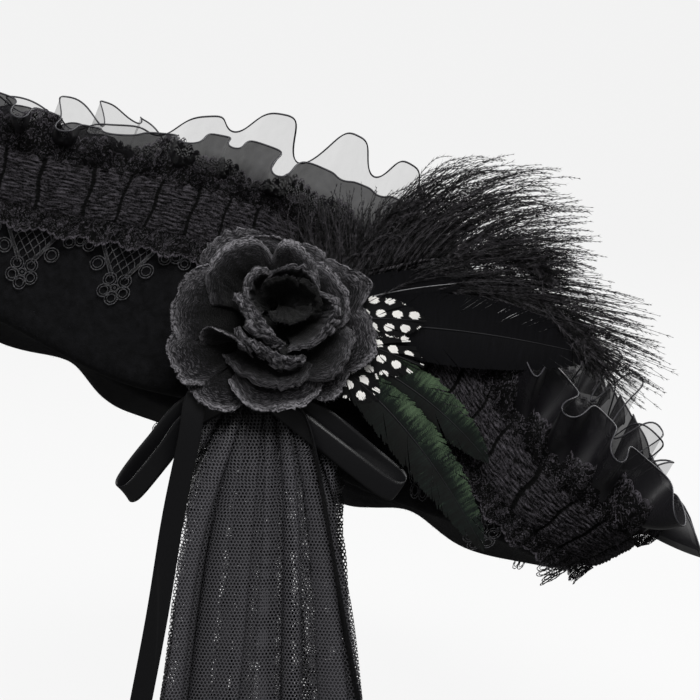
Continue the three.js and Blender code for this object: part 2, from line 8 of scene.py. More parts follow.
import bmesh
import bpy
import numpy as np
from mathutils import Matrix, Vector


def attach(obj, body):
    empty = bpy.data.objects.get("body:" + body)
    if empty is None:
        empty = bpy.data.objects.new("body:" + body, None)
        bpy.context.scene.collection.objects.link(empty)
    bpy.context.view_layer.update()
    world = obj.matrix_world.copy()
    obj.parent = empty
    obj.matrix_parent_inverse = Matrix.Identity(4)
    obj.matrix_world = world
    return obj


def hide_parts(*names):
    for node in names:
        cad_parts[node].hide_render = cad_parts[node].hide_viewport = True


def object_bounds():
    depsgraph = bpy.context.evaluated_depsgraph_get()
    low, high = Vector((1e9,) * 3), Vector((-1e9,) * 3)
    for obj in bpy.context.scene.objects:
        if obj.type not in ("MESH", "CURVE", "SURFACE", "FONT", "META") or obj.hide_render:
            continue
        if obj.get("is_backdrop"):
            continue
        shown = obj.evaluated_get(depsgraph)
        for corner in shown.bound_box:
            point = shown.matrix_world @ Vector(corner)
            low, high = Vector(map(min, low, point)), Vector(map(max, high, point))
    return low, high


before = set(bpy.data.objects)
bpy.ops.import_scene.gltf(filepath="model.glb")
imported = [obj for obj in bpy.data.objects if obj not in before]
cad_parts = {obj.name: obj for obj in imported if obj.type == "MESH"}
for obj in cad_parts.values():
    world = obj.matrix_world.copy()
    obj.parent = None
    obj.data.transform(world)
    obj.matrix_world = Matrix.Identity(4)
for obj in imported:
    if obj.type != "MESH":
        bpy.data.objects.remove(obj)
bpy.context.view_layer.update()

# Felt body
# Crown, brim and its three turned-up walls are one piece of black wool felt, pressed damp over a block
# and left raw at the edge. Its raised nap is matt and softens every outline.
MM = 0.001
TURN = 2 * np.pi
TILT = np.radians(27.5)
FELT = 2.5
HEAD_LONG, HEAD_WIDE = 97, 83.5
CROWN_HEIGHT, CROWN_SHAPE = 98, 0.77
EDGE_REACH, EDGE_RADIUS = 118, 213
EDGE_MID, EDGE_REAR, EDGE_FRONT, EDGE_ARCH = 87, 24, 64, 2.3
FOLD_REACH, FOLD_RADIUS = 107, 180
FOLD_MID, FOLD_CORNER, FOLD_SAG, FOLD_ROUND = -3, -6, 7, 9
CROWN_FOOT_ROUND = 7
PANEL_POWER = 8
CORNER_ROUND = np.radians(5)


def lerp(start, end, share):
    """The point a share of the way from start to end."""
    return start + (end - start) * share


def unit(vectors):
    """Vectors brought to length 1."""
    return vectors / np.linalg.norm(vectors, axis=-1, keepdims=True)


def quadratic(start, corner, end, t):
    """The point at t from 0 to 1 of a curve that leaves start towards corner and reaches end from there."""
    return start * (1 - t) ** 2 + corner * 2 * t * (1 - t) + end * t ** 2


def vec(*parts):
    """Points, or places in a pattern, from an array for each of their coordinates."""
    return np.stack(np.broadcast_arrays(*parts), -1).astype(float)


def panel_angle(angle):
    """The angle from the middle of the nearest side panel, eased so that the corners are round."""
    half = TURN / 6
    from_corner = np.abs(angle - 2 * half * np.round(angle / (2 * half)))
    eased = np.hypot(from_corner, CORNER_ROUND) - CORNER_ROUND
    return half * (1 - eased / (np.hypot(half, CORNER_ROUND) - CORNER_ROUND))


def corner_share(angle):
    """0 at the middle of a panel and 1 at a corner."""
    return np.sin(1.5 * panel_angle(angle)) ** 2


def is_front(angle):
    """True for the third of the brim round its front corner."""
    return np.cos(angle) > 0.5


def outline(angle, reach, radius):
    """A rounded triangle: the power mean of a straight panel at reach and a circle of the radius."""
    panel = (np.cos(panel_angle(angle)) / reach) ** PANEL_POWER
    return (panel + (1 / radius) ** PANEL_POWER) ** (-1 / PANEL_POWER)


def place(angle, radius, height):
    """A point at an angle from the front corner towards the wearer's left."""
    return vec(radius * np.sin(angle), -radius * np.cos(angle), height)


def brim_edge(angle):
    """The raw edge, which falls from mid panel to each corner."""
    low = np.where(is_front(angle), EDGE_FRONT, EDGE_REAR)
    height = lerp(EDGE_MID, low, corner_share(angle) ** EDGE_ARCH)
    return place(angle, outline(angle, EDGE_REACH, EDGE_RADIUS), height)


def brim_fold(angle):
    """The lower line where the brim turns up into its walls."""
    share = corner_share(angle)
    height = lerp(FOLD_MID, FOLD_CORNER, share) - FOLD_SAG * 4 * share * (1 - share)
    return place(angle, outline(angle, FOLD_REACH, FOLD_RADIUS), height)


def on_wall(angle, down):
    """A point on the middle of the wall's felt, a distance down from the edge."""
    angle, down = np.broadcast_arrays(angle, down)
    edge = brim_edge(angle)
    return edge + unit(brim_fold(angle) - edge) * down[..., None]


def wall_normal(angle, down):
    """Across the wall and outwards: the way down crossed with the way round."""
    angle, level = np.broadcast_arrays(angle, np.maximum(down, 0))
    around = on_wall(angle + 0.01, level) - on_wall(angle - 0.01, level)
    return unit(np.cross(brim_fold(angle) - brim_edge(angle), around))


def wall_point(angle, down, out):
    """A point on the wall, moved out from the middle of the felt."""
    angle, down, out = np.broadcast_arrays(angle, down, out)
    return on_wall(angle, down) + wall_normal(angle, down) * out[..., None]


def wall_length(angle):
    """From the fold to the edge."""
    return np.linalg.norm(brim_fold(angle) - brim_edge(angle), axis=-1)


def tipped(points):
    """Turns points of the upright hat back by TILT, about the X axis."""
    x, y, z = np.moveaxis(points, -1, 0)
    return vec(x, y * np.cos(TILT) + z * np.sin(TILT), z * np.cos(TILT) - y * np.sin(TILT))


def grid_faces(rows, columns, closed=False):
    """Four-cornered faces of a grid of points kept row by row; closed joins its last column to its first."""
    row, column = np.meshgrid(np.arange(rows - 1), np.arange(columns - (not closed)), indexing="ij")
    after = (column + 1) % columns
    here, below = row * columns, (row + 1) * columns
    corners = [here + column, here + after, below + after, below + column]
    return np.stack(corners, -1).reshape(-1, 4)


def repeated(faces, copies, points):
    """The same faces for each of many copies, which have that many points each."""
    steps = np.arange(copies) * points
    return (faces[None] + steps[:, None, None]).reshape(-1, faces.shape[1])


def new_piece(name, points, faces, material, uv=None, weld=False):
    """A piece of the hat, from points of the row frame in millimetres and arrays of faces."""
    mesh = bpy.data.meshes.new(name)
    faces = faces if isinstance(faces, list) else [faces]
    corners = np.concatenate([each.ravel() for each in faces]).astype(np.int32)
    sizes = np.concatenate([np.full(len(each), each.shape[1]) for each in faces])
    points = np.asarray(points, float).reshape(-1, 3) * MM
    mesh.vertices.add(len(points))
    mesh.vertices.foreach_set("co", points.ravel())
    mesh.loops.add(len(corners))
    mesh.loops.foreach_set("vertex_index", corners)
    mesh.polygons.add(len(sizes))
    mesh.polygons.foreach_set("loop_start", np.concatenate([[0], np.cumsum(sizes)[:-1]]).astype(np.int32))
    mesh.polygons.foreach_set("use_smooth", np.ones(len(sizes), bool))
    if uv is not None:
        layer = mesh.uv_layers.new(name="pattern")
        layer.data.foreach_set("uv", np.asarray(uv, float).reshape(-1, 2)[corners].ravel())
    mesh.update(calc_edges=True)
    if weld:
        shell = bmesh.new()
        shell.from_mesh(mesh)
        bmesh.ops.remove_doubles(shell, verts=shell.verts, dist=1e-6)
        shell.to_mesh(mesh)
        shell.free()
    mesh.materials.append(material)
    piece = bpy.data.objects.new(name, mesh)
    bpy.context.scene.collection.objects.link(piece)
    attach(piece, "root")
    return piece


def linear(code):
    """An sRGB hex colour as linear red, green, blue and 1."""
    parts = np.array([int(code[i:i + 2], 16) for i in (0, 2, 4)]) / 255
    parts = np.where(parts <= 0.04045, parts / 12.92, ((parts + 0.055) / 1.055) ** 2.4)
    return (*parts.tolist(), 1.0)


def first_output(made):
    """The first of a node's outputs that its settings leave open."""
    return next(output for output in made.outputs if output.enabled)


def node(tree, kind, inputs=None, stops=(), into=None, **settings):
    """Adds a node with its settings. Each input takes a value or a link, a ramp takes its stops, the first,
    the last and any between them, and into names the shader's socket that the node is linked to."""
    made = tree.nodes.new("ShaderNode" + kind)
    for name, value in settings.items():
        setattr(made, name, value)
    for name, value in (inputs or {}).items():
        if isinstance(value, bpy.types.Node):
            value = first_output(value)
        if isinstance(value, bpy.types.NodeSocket):
            tree.links.new(value, made.inputs[name])
        else:
            made.inputs[name].default_value = value
    for i, (spot, code) in enumerate(stops):
        stop = made.color_ramp.elements[i] if i < 2 else made.color_ramp.elements.new(spot)
        stop.position = spot
        stop.color = linear(code)
    if into:
        tree.links.new(first_output(made), tree.nodes["Principled BSDF"].inputs[into])
    return made


def new_material(name, **finish):
    """A material and its node tree, with what is the same all over it set on the shader's own sockets."""
    material = bpy.data.materials.new(name)
    material.use_nodes = True
    for socket, value in finish.items():
        material.node_tree.nodes["Principled BSDF"].inputs[socket.replace("_", " ")].default_value = value
    return material, material.node_tree


# Wool felt, pressed and left matt: no gloss, a faint grey bloom where the nap is seen edge on.
felt_cloth, tree = new_material(
    "pressed_wool_felt", Roughness=1.0, Specular_IOR_Level=0.06, Sheen_Weight=0.02, Sheen_Roughness=0.6,
)
coords = node(tree, "TexCoord").outputs["Object"]
clumps = node(tree, "TexNoise", {"Vector": coords, "Scale": 260.0, "Detail": 6.0, "Roughness": 0.7})
hairs = node(tree, "TexNoise", {"Vector": coords, "Scale": 1900.0, "Detail": 3.0, "Roughness": 0.8})
node(tree, "ValToRGB", {"Fac": clumps}, [(0.36, "070708"), (0.7, "131315")], "Base Color")
relief = node(tree, "Math", {0: clumps, 1: hairs}, operation="ADD")
node(tree, "Bump", {"Height": relief, "Strength": 0.8, "Distance": 0.0006}, into="Normal")

FELT_STATIONS = 288
even = np.arange(FELT_STATIONS) * TURN / FELT_STATIONS
stations = even - 0.24 * np.sin(3 * even)


def bend(start, corner, end, steps):
    """A quadratic curve through steps points, without its start and end."""
    t = (np.arange(1, steps + 1) / (steps + 1))[:, None, None]
    return quadratic(start, corner, end, t)


def felt_rows(angle):
    """Middle of the felt: down the superelliptic dome, over the brim, round the fold and up the wall."""
    head = 1 / np.hypot(np.sin(angle) / HEAD_WIDE, np.cos(angle) / HEAD_LONG)
    fall = np.radians(np.linspace(2, 84, 22))[:, None]
    dome = place(angle, head * np.sin(fall) ** CROWN_SHAPE, CROWN_HEIGHT * np.cos(fall) ** CROWN_SHAPE)
    foot = place(angle, head, 0 * angle)
    fold, edge = brim_fold(angle), brim_edge(angle)
    across = np.linalg.norm(fold - foot, axis=-1, keepdims=True)
    start = lerp(foot, fold, np.minimum(0.35, CROWN_FOOT_ROUND / across))
    inner = lerp(fold, foot, np.minimum(0.45, FOLD_ROUND / across))
    outer = lerp(fold, edge, FOLD_ROUND / np.linalg.norm(edge - fold, axis=-1, keepdims=True))
    flat = lerp(start, inner, np.linspace(0, 1, 9)[:, None, None])
    wall = lerp(outer, edge, np.linspace(0, 1, 16)[:, None, None])
    return np.concatenate([dome, bend(dome[-1], foot, start, 6), flat, bend(inner, fold, outer, 7), wall])


middle = felt_rows(stations)
felt_row = np.arange(len(middle))[:, None]
wobble = 0.35 * np.sin(9 * stations + felt_row / 7) * np.sin(felt_row / 5)
down_rows = np.gradient(middle, axis=0)
round_rows = np.roll(middle, -1, 1) - np.roll(middle, 1, 1)
across_felt = unit(np.cross(down_rows, round_rows))
middle = middle + across_felt * wobble[..., None]
turn = np.radians([25, 60, 90, 120, 155])[:, None, None]
rim = middle[-1] + FELT / 2 * (np.cos(turn) * across_felt[-1] + np.sin(turn) * unit(down_rows[-1]))
shell = np.concatenate([middle + across_felt * FELT / 2, rim, (middle - across_felt * FELT / 2)[::-1]])
poles = place(np.zeros(2), 0, CROWN_HEIGHT + np.array([FELT, -FELT]) / 2)
around = np.arange(FELT_STATIONS)
last_row = (len(shell) - 1) * FELT_STATIONS
beside = (around + 1) % FELT_STATIONS
top_pole = np.full(FELT_STATIONS, shell[..., 0].size)
top_fan = np.stack([around, beside, top_pole], -1)
low_fan = np.stack([last_row + beside, last_row + around, top_pole + 1], -1)
points = np.concatenate([shell.reshape(-1, 3), poles])
felt_faces = [grid_faces(len(shell), FELT_STATIONS, closed=True)[:, ::-1], top_fan, low_fan]
felt = new_piece("felt_shell", tipped(points), felt_faces, felt_cloth)
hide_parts("felt_body")

# Nap
# Loose wool ends stand out of the felt all over, a millimetre or so long, and fuzz its outline. Each is
# drawn about three times as thick as a wool fibre, so that it shows.
NAP_HAIRS = 45000
NAP_LENGTH, NAP_WIDTH = 1.3, 0.09
rng = np.random.default_rng(11)
round_edge = np.roll(shell, -1, 1)[1:] - shell[1:]
span = np.linalg.norm(np.cross(np.diff(shell, axis=0), round_edge), axis=-1).ravel()
cell = rng.choice(span.size, NAP_HAIRS, p=span / span.sum())
row, column = np.divmod(cell, FELT_STATIONS)
beside = (column + 1) % FELT_STATIONS
along_row, along_column = rng.random((2, NAP_HAIRS, 1))
corner, below = shell[row, column], shell[row + 1, column]
upper_edge = lerp(corner, shell[row, beside], along_row)
lower_edge = lerp(below, shell[row + 1, beside], along_row)
root = lerp(upper_edge, lower_edge, along_column)
outward = unit(np.cross(below - corner, shell[row, beside] - corner))
stray = rng.normal(size=(NAP_HAIRS, 3))
direction = unit(outward + 0.75 * stray)
side = unit(np.cross(direction, rng.normal(size=(NAP_HAIRS, 3)))) * NAP_WIDTH / 2
tips = root + direction * NAP_LENGTH * rng.uniform(0.4, 1.0, (NAP_HAIRS, 1))
hair_points = np.stack([root - side, root + side, tips], 1)


def fibre_material(name, scale, stops, bump=0.0, **finish):
    """A plain fibre or horn: its tone follows a noise of so many cycles a metre, and so does its bump."""
    material, tree = new_material(name, **finish)
    coords = node(tree, "TexCoord").outputs["Object"]
    fibres = node(tree, "TexNoise", {"Vector": coords, "Scale": scale, "Detail": 2.0})
    node(tree, "ValToRGB", {"Fac": fibres}, stops, "Base Color")
    if bump:
        node(tree, "Bump", {"Height": fibres, "Strength": bump, "Distance": 0.0003}, into="Normal")
    return material


# Single wool fibres, dyed black, painted a shade paler than the pressed felt in patches, as painted
# highlights on the loose ends.
loose_wool = fibre_material(
    "loose_wool_fibres", 700.0, [(0.35, "0a0a0b"), (0.7, "29292c")], Roughness=0.9, Specular_IOR_Level=0.1,
)
hair_faces = np.arange(NAP_HAIRS * 3).reshape(-1, 3)
new_piece("felt_nap", tipped(hair_points), hair_faces, loose_wool)

# Lace edging
# Heavy corded lace, embroidered in one piece on a ground that is then dissolved: nets that narrow down to
# a flower of five rings, with arches of rings between them. It is sewn behind the band and hangs free.
GAP = 0.75
BAND_FOOT = 27.5
LACE_THICK = 1.1
BAND_OUT = FELT / 2 + GAP + LACE_THICK + GAP
LACE_MOTIFS, LACE_DROP, LACE_OVERHANG = 26, 63, 8
FLOWER_SHARE = 0.5
CORD = 0.36
NET_PITCH = 2.7

fine = np.linspace(0, TURN, 2881)
fine_steps = np.linalg.norm(np.diff(on_wall(fine, BAND_FOOT), axis=0), axis=-1)
fine_lengths = np.concatenate([[0], np.cumsum(fine_steps)])
BRIM_ROUND = fine_lengths[-1]
LACE_PITCH = BRIM_ROUND / LACE_MOTIFS


def angle_at(length):
    """The angle at a length along the brim, measured at the foot of the band."""
    return np.interp(np.mod(length, BRIM_ROUND), fine_lengths, fine)


def lace_place(length, down, out):
    """A point of the lace, lifted where the wall is short, so that it hangs only a little below the fold."""
    angle = angle_at(length)
    lift = np.maximum(0, LACE_DROP - LACE_OVERHANG - wall_length(angle))
    return wall_point(angle, np.maximum(down - lift, 8), out)


def round_cords(paths, outward, radius, sides=4, closed=False):
    """Tubes along paths [cord, step]: circles spanned by the outward way and the way across the run."""
    before, after = (np.roll(paths, 1, 1), np.roll(paths, -1, 1)) if closed else (None, None)
    run = unit(after - before) if closed else unit(np.gradient(paths, axis=1))
    across = unit(np.cross(run, outward))
    lift = np.cross(across, run)
    turn = (np.arange(sides) / sides * TURN)[:, None]
    circles = np.cos(turn) * lift[:, :, None] + np.sin(turn) * across[:, :, None]
    rings = paths[:, :, None] + np.asarray(radius)[..., None, None] * circles
    count, steps = paths.shape[:2]
    faces = grid_faces(steps, sides, closed=True)
    if closed:
        end = (steps - 1) * sides
        ring = np.arange(sides)
        after = (ring + 1) % sides
        faces = np.concatenate([faces, np.stack([end + ring, end + after, after, ring], -1)])
        return rings.reshape(-1, 3), [repeated(faces, count, steps * sides)]
    ends = np.stack([np.arange(sides)[::-1], (steps - 1) * sides + np.arange(sides)])
    return rings.reshape(-1, 3), [repeated(each, count, steps * sides) for each in (faces, ends)]


def joined(parts):
    """Points and faces of several made things, as one."""
    points = np.concatenate([part[0] for part in parts])
    shifts = np.cumsum([0] + [len(part[0]) for part in parts[:-1]])
    return points, [faces + shift for part, shift in zip(parts, shifts) for faces in part[1]]


def lace_cords(length, down, out, radius, closed=False):
    """Cords of the lace from their run along and down it, one for each motif and row."""
    length, down = np.broadcast_arrays(length, down)
    motif = ((np.arange(LACE_MOTIFS) + FLOWER_SHARE) * LACE_PITCH)[:, None, None]
    length = (motif + length).reshape(-1, length.shape[-1])
    down = np.broadcast_to(down, (LACE_MOTIFS, *down.shape)).reshape(length.shape)
    paths = lace_place(length, down, out)
    outward = wall_normal(angle_at(length), np.maximum(down, 0))
    return round_cords(tipped(paths), tipped(outward), radius, 3, closed)


def lace_rings(rings, radius):
    """Beaded rings, from rows of where they are along and down a motif and how wide."""
    rings = np.asarray(rings, float)
    turn = np.arange(16) / 16 * TURN
    radius = radius * (1 + 0.3 * np.cos(8 * turn)) * np.ones((LACE_MOTIFS * len(rings), 1))
    length = rings[:, :1] + rings[:, 2:] * np.cos(turn)
    down = rings[:, 1:2] + rings[:, 2:] * np.sin(turn)
    return lace_cords(length, down, LACE_OUT, radius, True)


LACE_OUT = FELT / 2 + GAP + 0.5
FLOWER_DOWN, PETAL_OUT, PETAL_RING = 55.8, 4.6, 2.9
petal_turn = np.radians([0, 68, 136, 224, 292])
petal_at = np.stack([PETAL_OUT * np.sin(petal_turn), FLOWER_DOWN + PETAL_OUT * np.cos(petal_turn)], -1)
rings = [(along, down, PETAL_RING) for along, down in petal_at] + [(0, FLOWER_DOWN, 1.5)]
rings += [(side * 10.6, 46.4, 3.1) for side in (-1, 1)] + [(side * 16.4, 39.6, 2.6) for side in (-1, 1)]
rings += [(LACE_PITCH / 2, 38.0, 2.6)]
inner_rings = [(along, down, ring - 1.1) for along, down, ring in rings]
side_share = np.linspace(0, 1, 10)
side_along = np.interp(side_share, [0, 0.3, 0.6, 1], [19.5, 12.4, 8.0, 3.2])
side_down = np.interp(side_share, [0, 0.3, 0.6, 1], [28, 36.5, 44.0, 52.0])
sides_along = np.stack([side_along, -side_along, side_along - 1.3, 1.3 - side_along])
net_rows = np.arange(-9, 10) * NET_PITCH
net_down = np.linspace(26, 50, 9)
lean = (net_down - 38) * 0.8
net_half = np.interp(net_down, [26, 36.5, 44, 51], [19.5, 11.6, 7.4, 3.0])
net_along = np.concatenate([net_rows[:, None] * 1.45 + lean, net_rows[:, None] * 1.45 - lean])
net_along = np.clip(net_along, -net_half, net_half)
top_cord = np.stack([np.linspace(0, LACE_PITCH, 15)] * 2)
lace = joined([
    lace_rings(rings, CORD * 0.65), lace_rings(inner_rings, CORD * 0.55),
    lace_cords(sides_along, side_down[None], LACE_OUT, CORD * 0.7),
    lace_cords(net_along, net_down[None], LACE_OUT, CORD * 0.55),
    lace_cords(top_cord, np.array([[24.6], [29.5]]), LACE_OUT, CORD),
])

# Rayon embroidery thread over a cotton cord, dyed black: round cords with a faint sheen along them.
corded_rayon = fibre_material(
    "corded_rayon_lace", 1500.0, [(0.4, "060607"), (0.68, "3a393f")], bump=0.7,
    Roughness=0.55, Specular_IOR_Level=0.35, Sheen_Weight=0.15,
)
edging = new_piece("corded_lace", lace[0], lace[1], corded_rayon)
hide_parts("lace_edging")

# Ribbed band
# A gathered trim of fine crinkled ribs, drawn up every 16 mm or so by a stitched tuck, sewn flat over
# the heads of the lace. It puffs between the tucks, and its ribs start anew at each.
TUCKS, RIBS = 70, 13
BAND_COLUMNS = TUCKS * 16
TUCK_SHARE = 0.1
RIBS_TOP, RIBS_FOOT = 5.5, 29
column = np.arange(BAND_COLUMNS + 1) / BAND_COLUMNS
up = np.linspace(0, 1, 54)[:, None]
slant = 0.07 * np.sin(column * TURN * 13) * (up - 0.5) + 0.025 * np.sin(up * 9 + column * TURN * 29)
phase = column * TUCKS + 0.16 * np.sin(column * TURN * 9) + 0.1 * np.sin(column * TURN * 23) + slant
near_tuck = np.abs(phase - np.round(phase))
crown = 0.75 + 0.25 * np.sin(np.pi * np.minimum(near_tuck * 2, 1))
puff = np.clip(near_tuck / TUCK_SHARE, 0, 1) ** 0.7 * crown
own = np.sin((np.mod(np.floor(phase), TUCKS) + 1) * 12.9)
swell = 1 - np.abs(2 * up - 1) ** 6
shift = 0.3 * own + 0.16 * np.sin(column * TURN * 58 + 2) + 0.12 * np.sin(column * TURN * 131 + 5 * own)
ribs = np.abs(np.cos(np.pi * (up * (RIBS + own) + shift * (0.6 + up)))) ** 0.8
crinkle = np.sin(column * TURN * 311 + up * 9 + own) * np.sin(column * TURN * 173 - up * 33 + 1)
fine_crinkle = np.sin(column * TURN * 523 + up * 31) * np.sin(column * TURN * 407 - up * 57)
out = BAND_OUT + 0.1 + 1.2 * swell * (0.1 + 0.9 * puff)
out = out + (0.75 * ribs + 0.42 * crinkle + 0.26 * fine_crinkle) * swell * (0.15 + 0.85 * puff)
spread = 0.9 * (1 - puff) + 0.4 * np.sin(column * TURN * 47)
down = lerp(RIBS_TOP + spread, RIBS_FOOT - spread, up)
band_angle = angle_at(column * BRIM_ROUND)
front_face = wall_point(band_angle, down, out)
back_down = lerp(RIBS_FOOT - 1.4, RIBS_TOP + 1.4, np.linspace(0, 1, 3)[:, None])
back_face = wall_point(band_angle, back_down, BAND_OUT)
section = np.concatenate([front_face, back_face])
rows = len(section)
faces = grid_faces(BAND_COLUMNS + 1, rows, closed=True)
tuck_phase = np.concatenate([phase, phase[-1:] + np.zeros((3, 1))])
pattern = vec(tuck_phase * BRIM_ROUND / TUCKS, np.arange(rows)[:, None] / 54 * 20)

# Crinkled polyester net, gathered on threads: matt and paler on its ribs, with painted shade that makes it
# nearly black in its tucks.
ribbed_net, tree = new_material("gathered_ribbed_net", Roughness=0.85, Specular_IOR_Level=0.1)
map_uv = node(tree, "UVMap", uv_map="pattern")
stretched = node(tree, "Mapping", {"Vector": map_uv, "Scale": (0.3, 1.25, 1.0)})
crushed = node(tree, "TexNoise", {"Vector": stretched, "Scale": 1.0, "Detail": 5.0, "Roughness": 0.75})
along_band = node(tree, "SeparateXYZ", {0: map_uv})
tuck_share = node(tree, "Math", {0: along_band, 1: TUCKS / BRIM_ROUND}, operation="MULTIPLY")
tuck_wave = node(tree, "Math", {0: tuck_share, 1: 0.5}, operation="PINGPONG")
# Painted shade: the colour is darkened close to each tuck.
painted_tuck_shade = node(tree, "MapRange", {"Value": tuck_wave, "From Max": 0.055, "To Min": -0.35, "To Max": 0.0})
holes = node(tree, "TexVoronoi", {"Vector": map_uv, "Scale": 1.1}, feature="DISTANCE_TO_EDGE")
lines = node(tree, "Math", {0: holes, 1: 0.13}, operation="LESS_THAN")
mixed = node(tree, "Math", {0: lines, 1: 0.08, 2: crushed}, operation="MULTIPLY_ADD")
with_tuck_shade = node(tree, "Math", {0: mixed, 1: painted_tuck_shade}, operation="ADD")
node(tree, "ValToRGB", {"Fac": with_tuck_shade}, [(0.49, "020202"), (0.76, "4c494e")], "Base Color")
node(tree, "Bump", {"Height": mixed, "Strength": 1.0, "Distance": 0.0008}, into="Normal")
band = new_piece(
    "gathered_band", tipped(np.swapaxes(section, 0, 1)), faces, ribbed_net,
    uv=np.swapaxes(pattern, 0, 1), weld=True,
)
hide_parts("ribbed_band")

# Lace frills
# Two narrow frills of soft net lace, each gathered along one side: one hangs below the band, the other
# stands up behind it, over the raw edge of the felt. Their free sides are finished in small scallops.
FRILL_FOOT, FRILL_DEPTH = 37, 2.6
FRILL_COLUMNS = 1900
SCALLOP = 3.4
frill_columns = np.arange(FRILL_COLUMNS + 1) / FRILL_COLUMNS
frill_angle = angle_at(frill_columns * BRIM_ROUND)
RUFFLE_UPRIGHT = 0.8


def rear_share(angle):
    """The corner share at the two rear corners, 0 at the front one."""
    return np.where(is_front(angle), 0, corner_share(angle))


def front_share(angle):
    """The corner share at the front corner, 0 at the rear ones."""
    return np.where(is_front(angle), corner_share(angle), 0)


def above_point(angle, rise, out):
    """A point above the edge: up the wall's way, more upright at the rear corners, and out across it."""
    angle, rise, out = np.broadcast_arrays(angle, rise, out)
    edge = brim_edge(angle)
    up = unit(edge - brim_fold(angle))
    up = unit(lerp(up, np.array([0, 0, 1.0]), (RUFFLE_UPRIGHT * rear_share(angle))[..., None]))
    normal = wall_normal(angle, 0)
    away = unit(normal - up * np.sum(normal * up, -1, keepdims=True))
    return edge + up * rise[..., None] + away * out[..., None]


def scallops(columns, count):
    """Half circles along the free side, 0 between two of them and 1 in the middle of each."""
    return np.abs(np.sin(np.pi * columns * count)) ** 0.6


def lace_mask(tree, uv, ground, thread):
    """Opaque on the threads: two crossing sets of lines, and closer sprigs worked round scattered points."""
    bent = node(tree, "TexNoise", {"Vector": uv, "Scale": 0.7, "Detail": 1.0})
    shift = {0: bent.outputs["Color"], 1: (1.2, 1.2, 0.0), 2: uv}
    shift = node(tree, "VectorMath", shift, operation="MULTIPLY_ADD")
    parts = node(tree, "SeparateXYZ", {0: shift})
    sprig = node(tree, "TexVoronoi", {"Vector": uv, "Scale": 0.24, "Randomness": 0.5})
    whole = node(tree, "Math", {0: sprig, 1: 0.36}, operation="LESS_THAN")
    for way, into in (("ADD", None), ("SUBTRACT", "Alpha")):
        slant = node(tree, "Math", {0: parts, 1: parts.outputs["Y"]}, operation=way)
        wave = node(tree, "Math", {0: slant, 1: ground}, operation="PINGPONG")
        line = node(tree, "Math", {0: wave, 1: thread}, operation="LESS_THAN")
        whole = node(tree, "Math", {0: whole, 1: line}, into=into, operation="MAXIMUM")


# Polyester net lace: a small diamond ground with closer sprigs worked into it, crushed by its gathers.
net_lace, tree = new_material("soft_net_lace", Roughness=0.85, Specular_IOR_Level=0.1)
map_uv = node(tree, "UVMap", uv_map="pattern")
lace_mask(tree, map_uv, 0.8, 0.34)
# Painted light and shade of the crumples: a noise sets the tone, with a painted highlight along its contour
# lines, and the free edge is paler.
patches = node(tree, "TexNoise", {"Vector": map_uv, "Scale": 0.22, "Detail": 3.0, "Roughness": 0.6})
height_up = node(tree, "SeparateXYZ", {0: map_uv})
at_edge = {"Value": height_up.outputs["Y"], "From Min": 318.2, "From Max": 319.2, "To Max": 0.22}
at_edge = node(tree, "MapRange", at_edge)
counted = node(tree, "Math", {0: patches, 1: 7.0}, operation="MULTIPLY")
contour = node(tree, "Math", {0: counted, 1: 0.5}, operation="PINGPONG")
painted_crease_highlight = node(tree, "MapRange", {"Value": contour, "From Max": 0.16, "To Min": 0.3, "To Max": 0.0})
lit = node(tree, "Math", {0: patches, 1: 0.6, 2: painted_crease_highlight}, operation="MULTIPLY_ADD")
mixed = node(tree, "Math", {0: lit, 1: at_edge}, operation="ADD")
node(tree, "ValToRGB", {"Fac": mixed}, [(0.32, "020202"), (0.7, "4a474c")], "Base Color")
node(tree, "Bump", {"Height": patches, "Strength": 1.0, "Distance": 0.0004}, into="Normal")

share = np.linspace(0, 1, 12)[:, None]
gather = np.sin(frill_columns * TURN * 64 + 1.3 * np.sin(frill_columns * TURN * 11))
tight = np.sin(frill_columns * TURN * 170 + 2 * share)
crumple = np.sin(frill_columns * TURN * 301 + share * 11) * np.sin(frill_columns * TURN * 211 - share * 17)
frill_foot = np.minimum(FRILL_FOOT, wall_length(frill_angle) - 2)
frill_edge = frill_foot + 1.2 * scallops(frill_columns, BRIM_ROUND / SCALLOP) + 1.2 * gather
drop = lerp(RIBS_FOOT - 1, frill_edge, share)
flare = BAND_OUT + 1.2 + 0.7 * tight * (1 - 0.6 * share) + 0.2 * crumple
flare = flare + (0.4 + FRILL_DEPTH * (0.5 + 0.5 * gather)) * share ** 1.3
low_frill = wall_point(frill_angle, drop, flare)
frill_uv = vec(frill_columns * BRIM_ROUND * 1.4, share * 14 + 306)
frill_faces = grid_faces(*low_frill.shape[:2])
lower = new_piece(
    "lace_frill_low", tipped(low_frill), frill_faces, net_lace, uv=frill_uv, weld=True,
)
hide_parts("lace_frill")

UPPER_RISE = 6.5
ripple = np.sin(frill_columns * TURN * 47 + 1.1 * np.sin(frill_columns * TURN * 7 + 1))
uneven = 3.0 * np.sin(frill_columns * TURN * 19 + 2) + 2.2 * np.sin(frill_columns * TURN * 43)
scallop_rise = 2.0 * scallops(frill_columns, BRIM_ROUND / SCALLOP)
height = UPPER_RISE + uneven + scallop_rise + 2 * rear_share(frill_angle)
foot_line = wall_point(frill_angle, RIBS_TOP + 1.5, BAND_OUT + 1.2)
bend_line = wall_point(frill_angle, 0.5, BAND_OUT + 2.8)
hem_line = above_point(frill_angle, height, 5.5 + 3.0 * ripple)
up_frill = share[..., None]
high_frill = lerp(lerp(foot_line, bend_line, up_frill), lerp(bend_line, hem_line, up_frill), up_frill)
pinch = 1.2 * tight * (1 - 0.7 * share) + 1.6 * ripple * np.sin(np.pi * share) + 0.25 * crumple
high_frill += wall_normal(frill_angle, 0) * pinch[..., None]
frill_uv = vec(frill_columns * BRIM_ROUND * 1.4, share * 20 + 300)
upper = new_piece(
    "lace_frill_high", tipped(high_frill), frill_faces, net_lace, uv=frill_uv, weld=True,
)

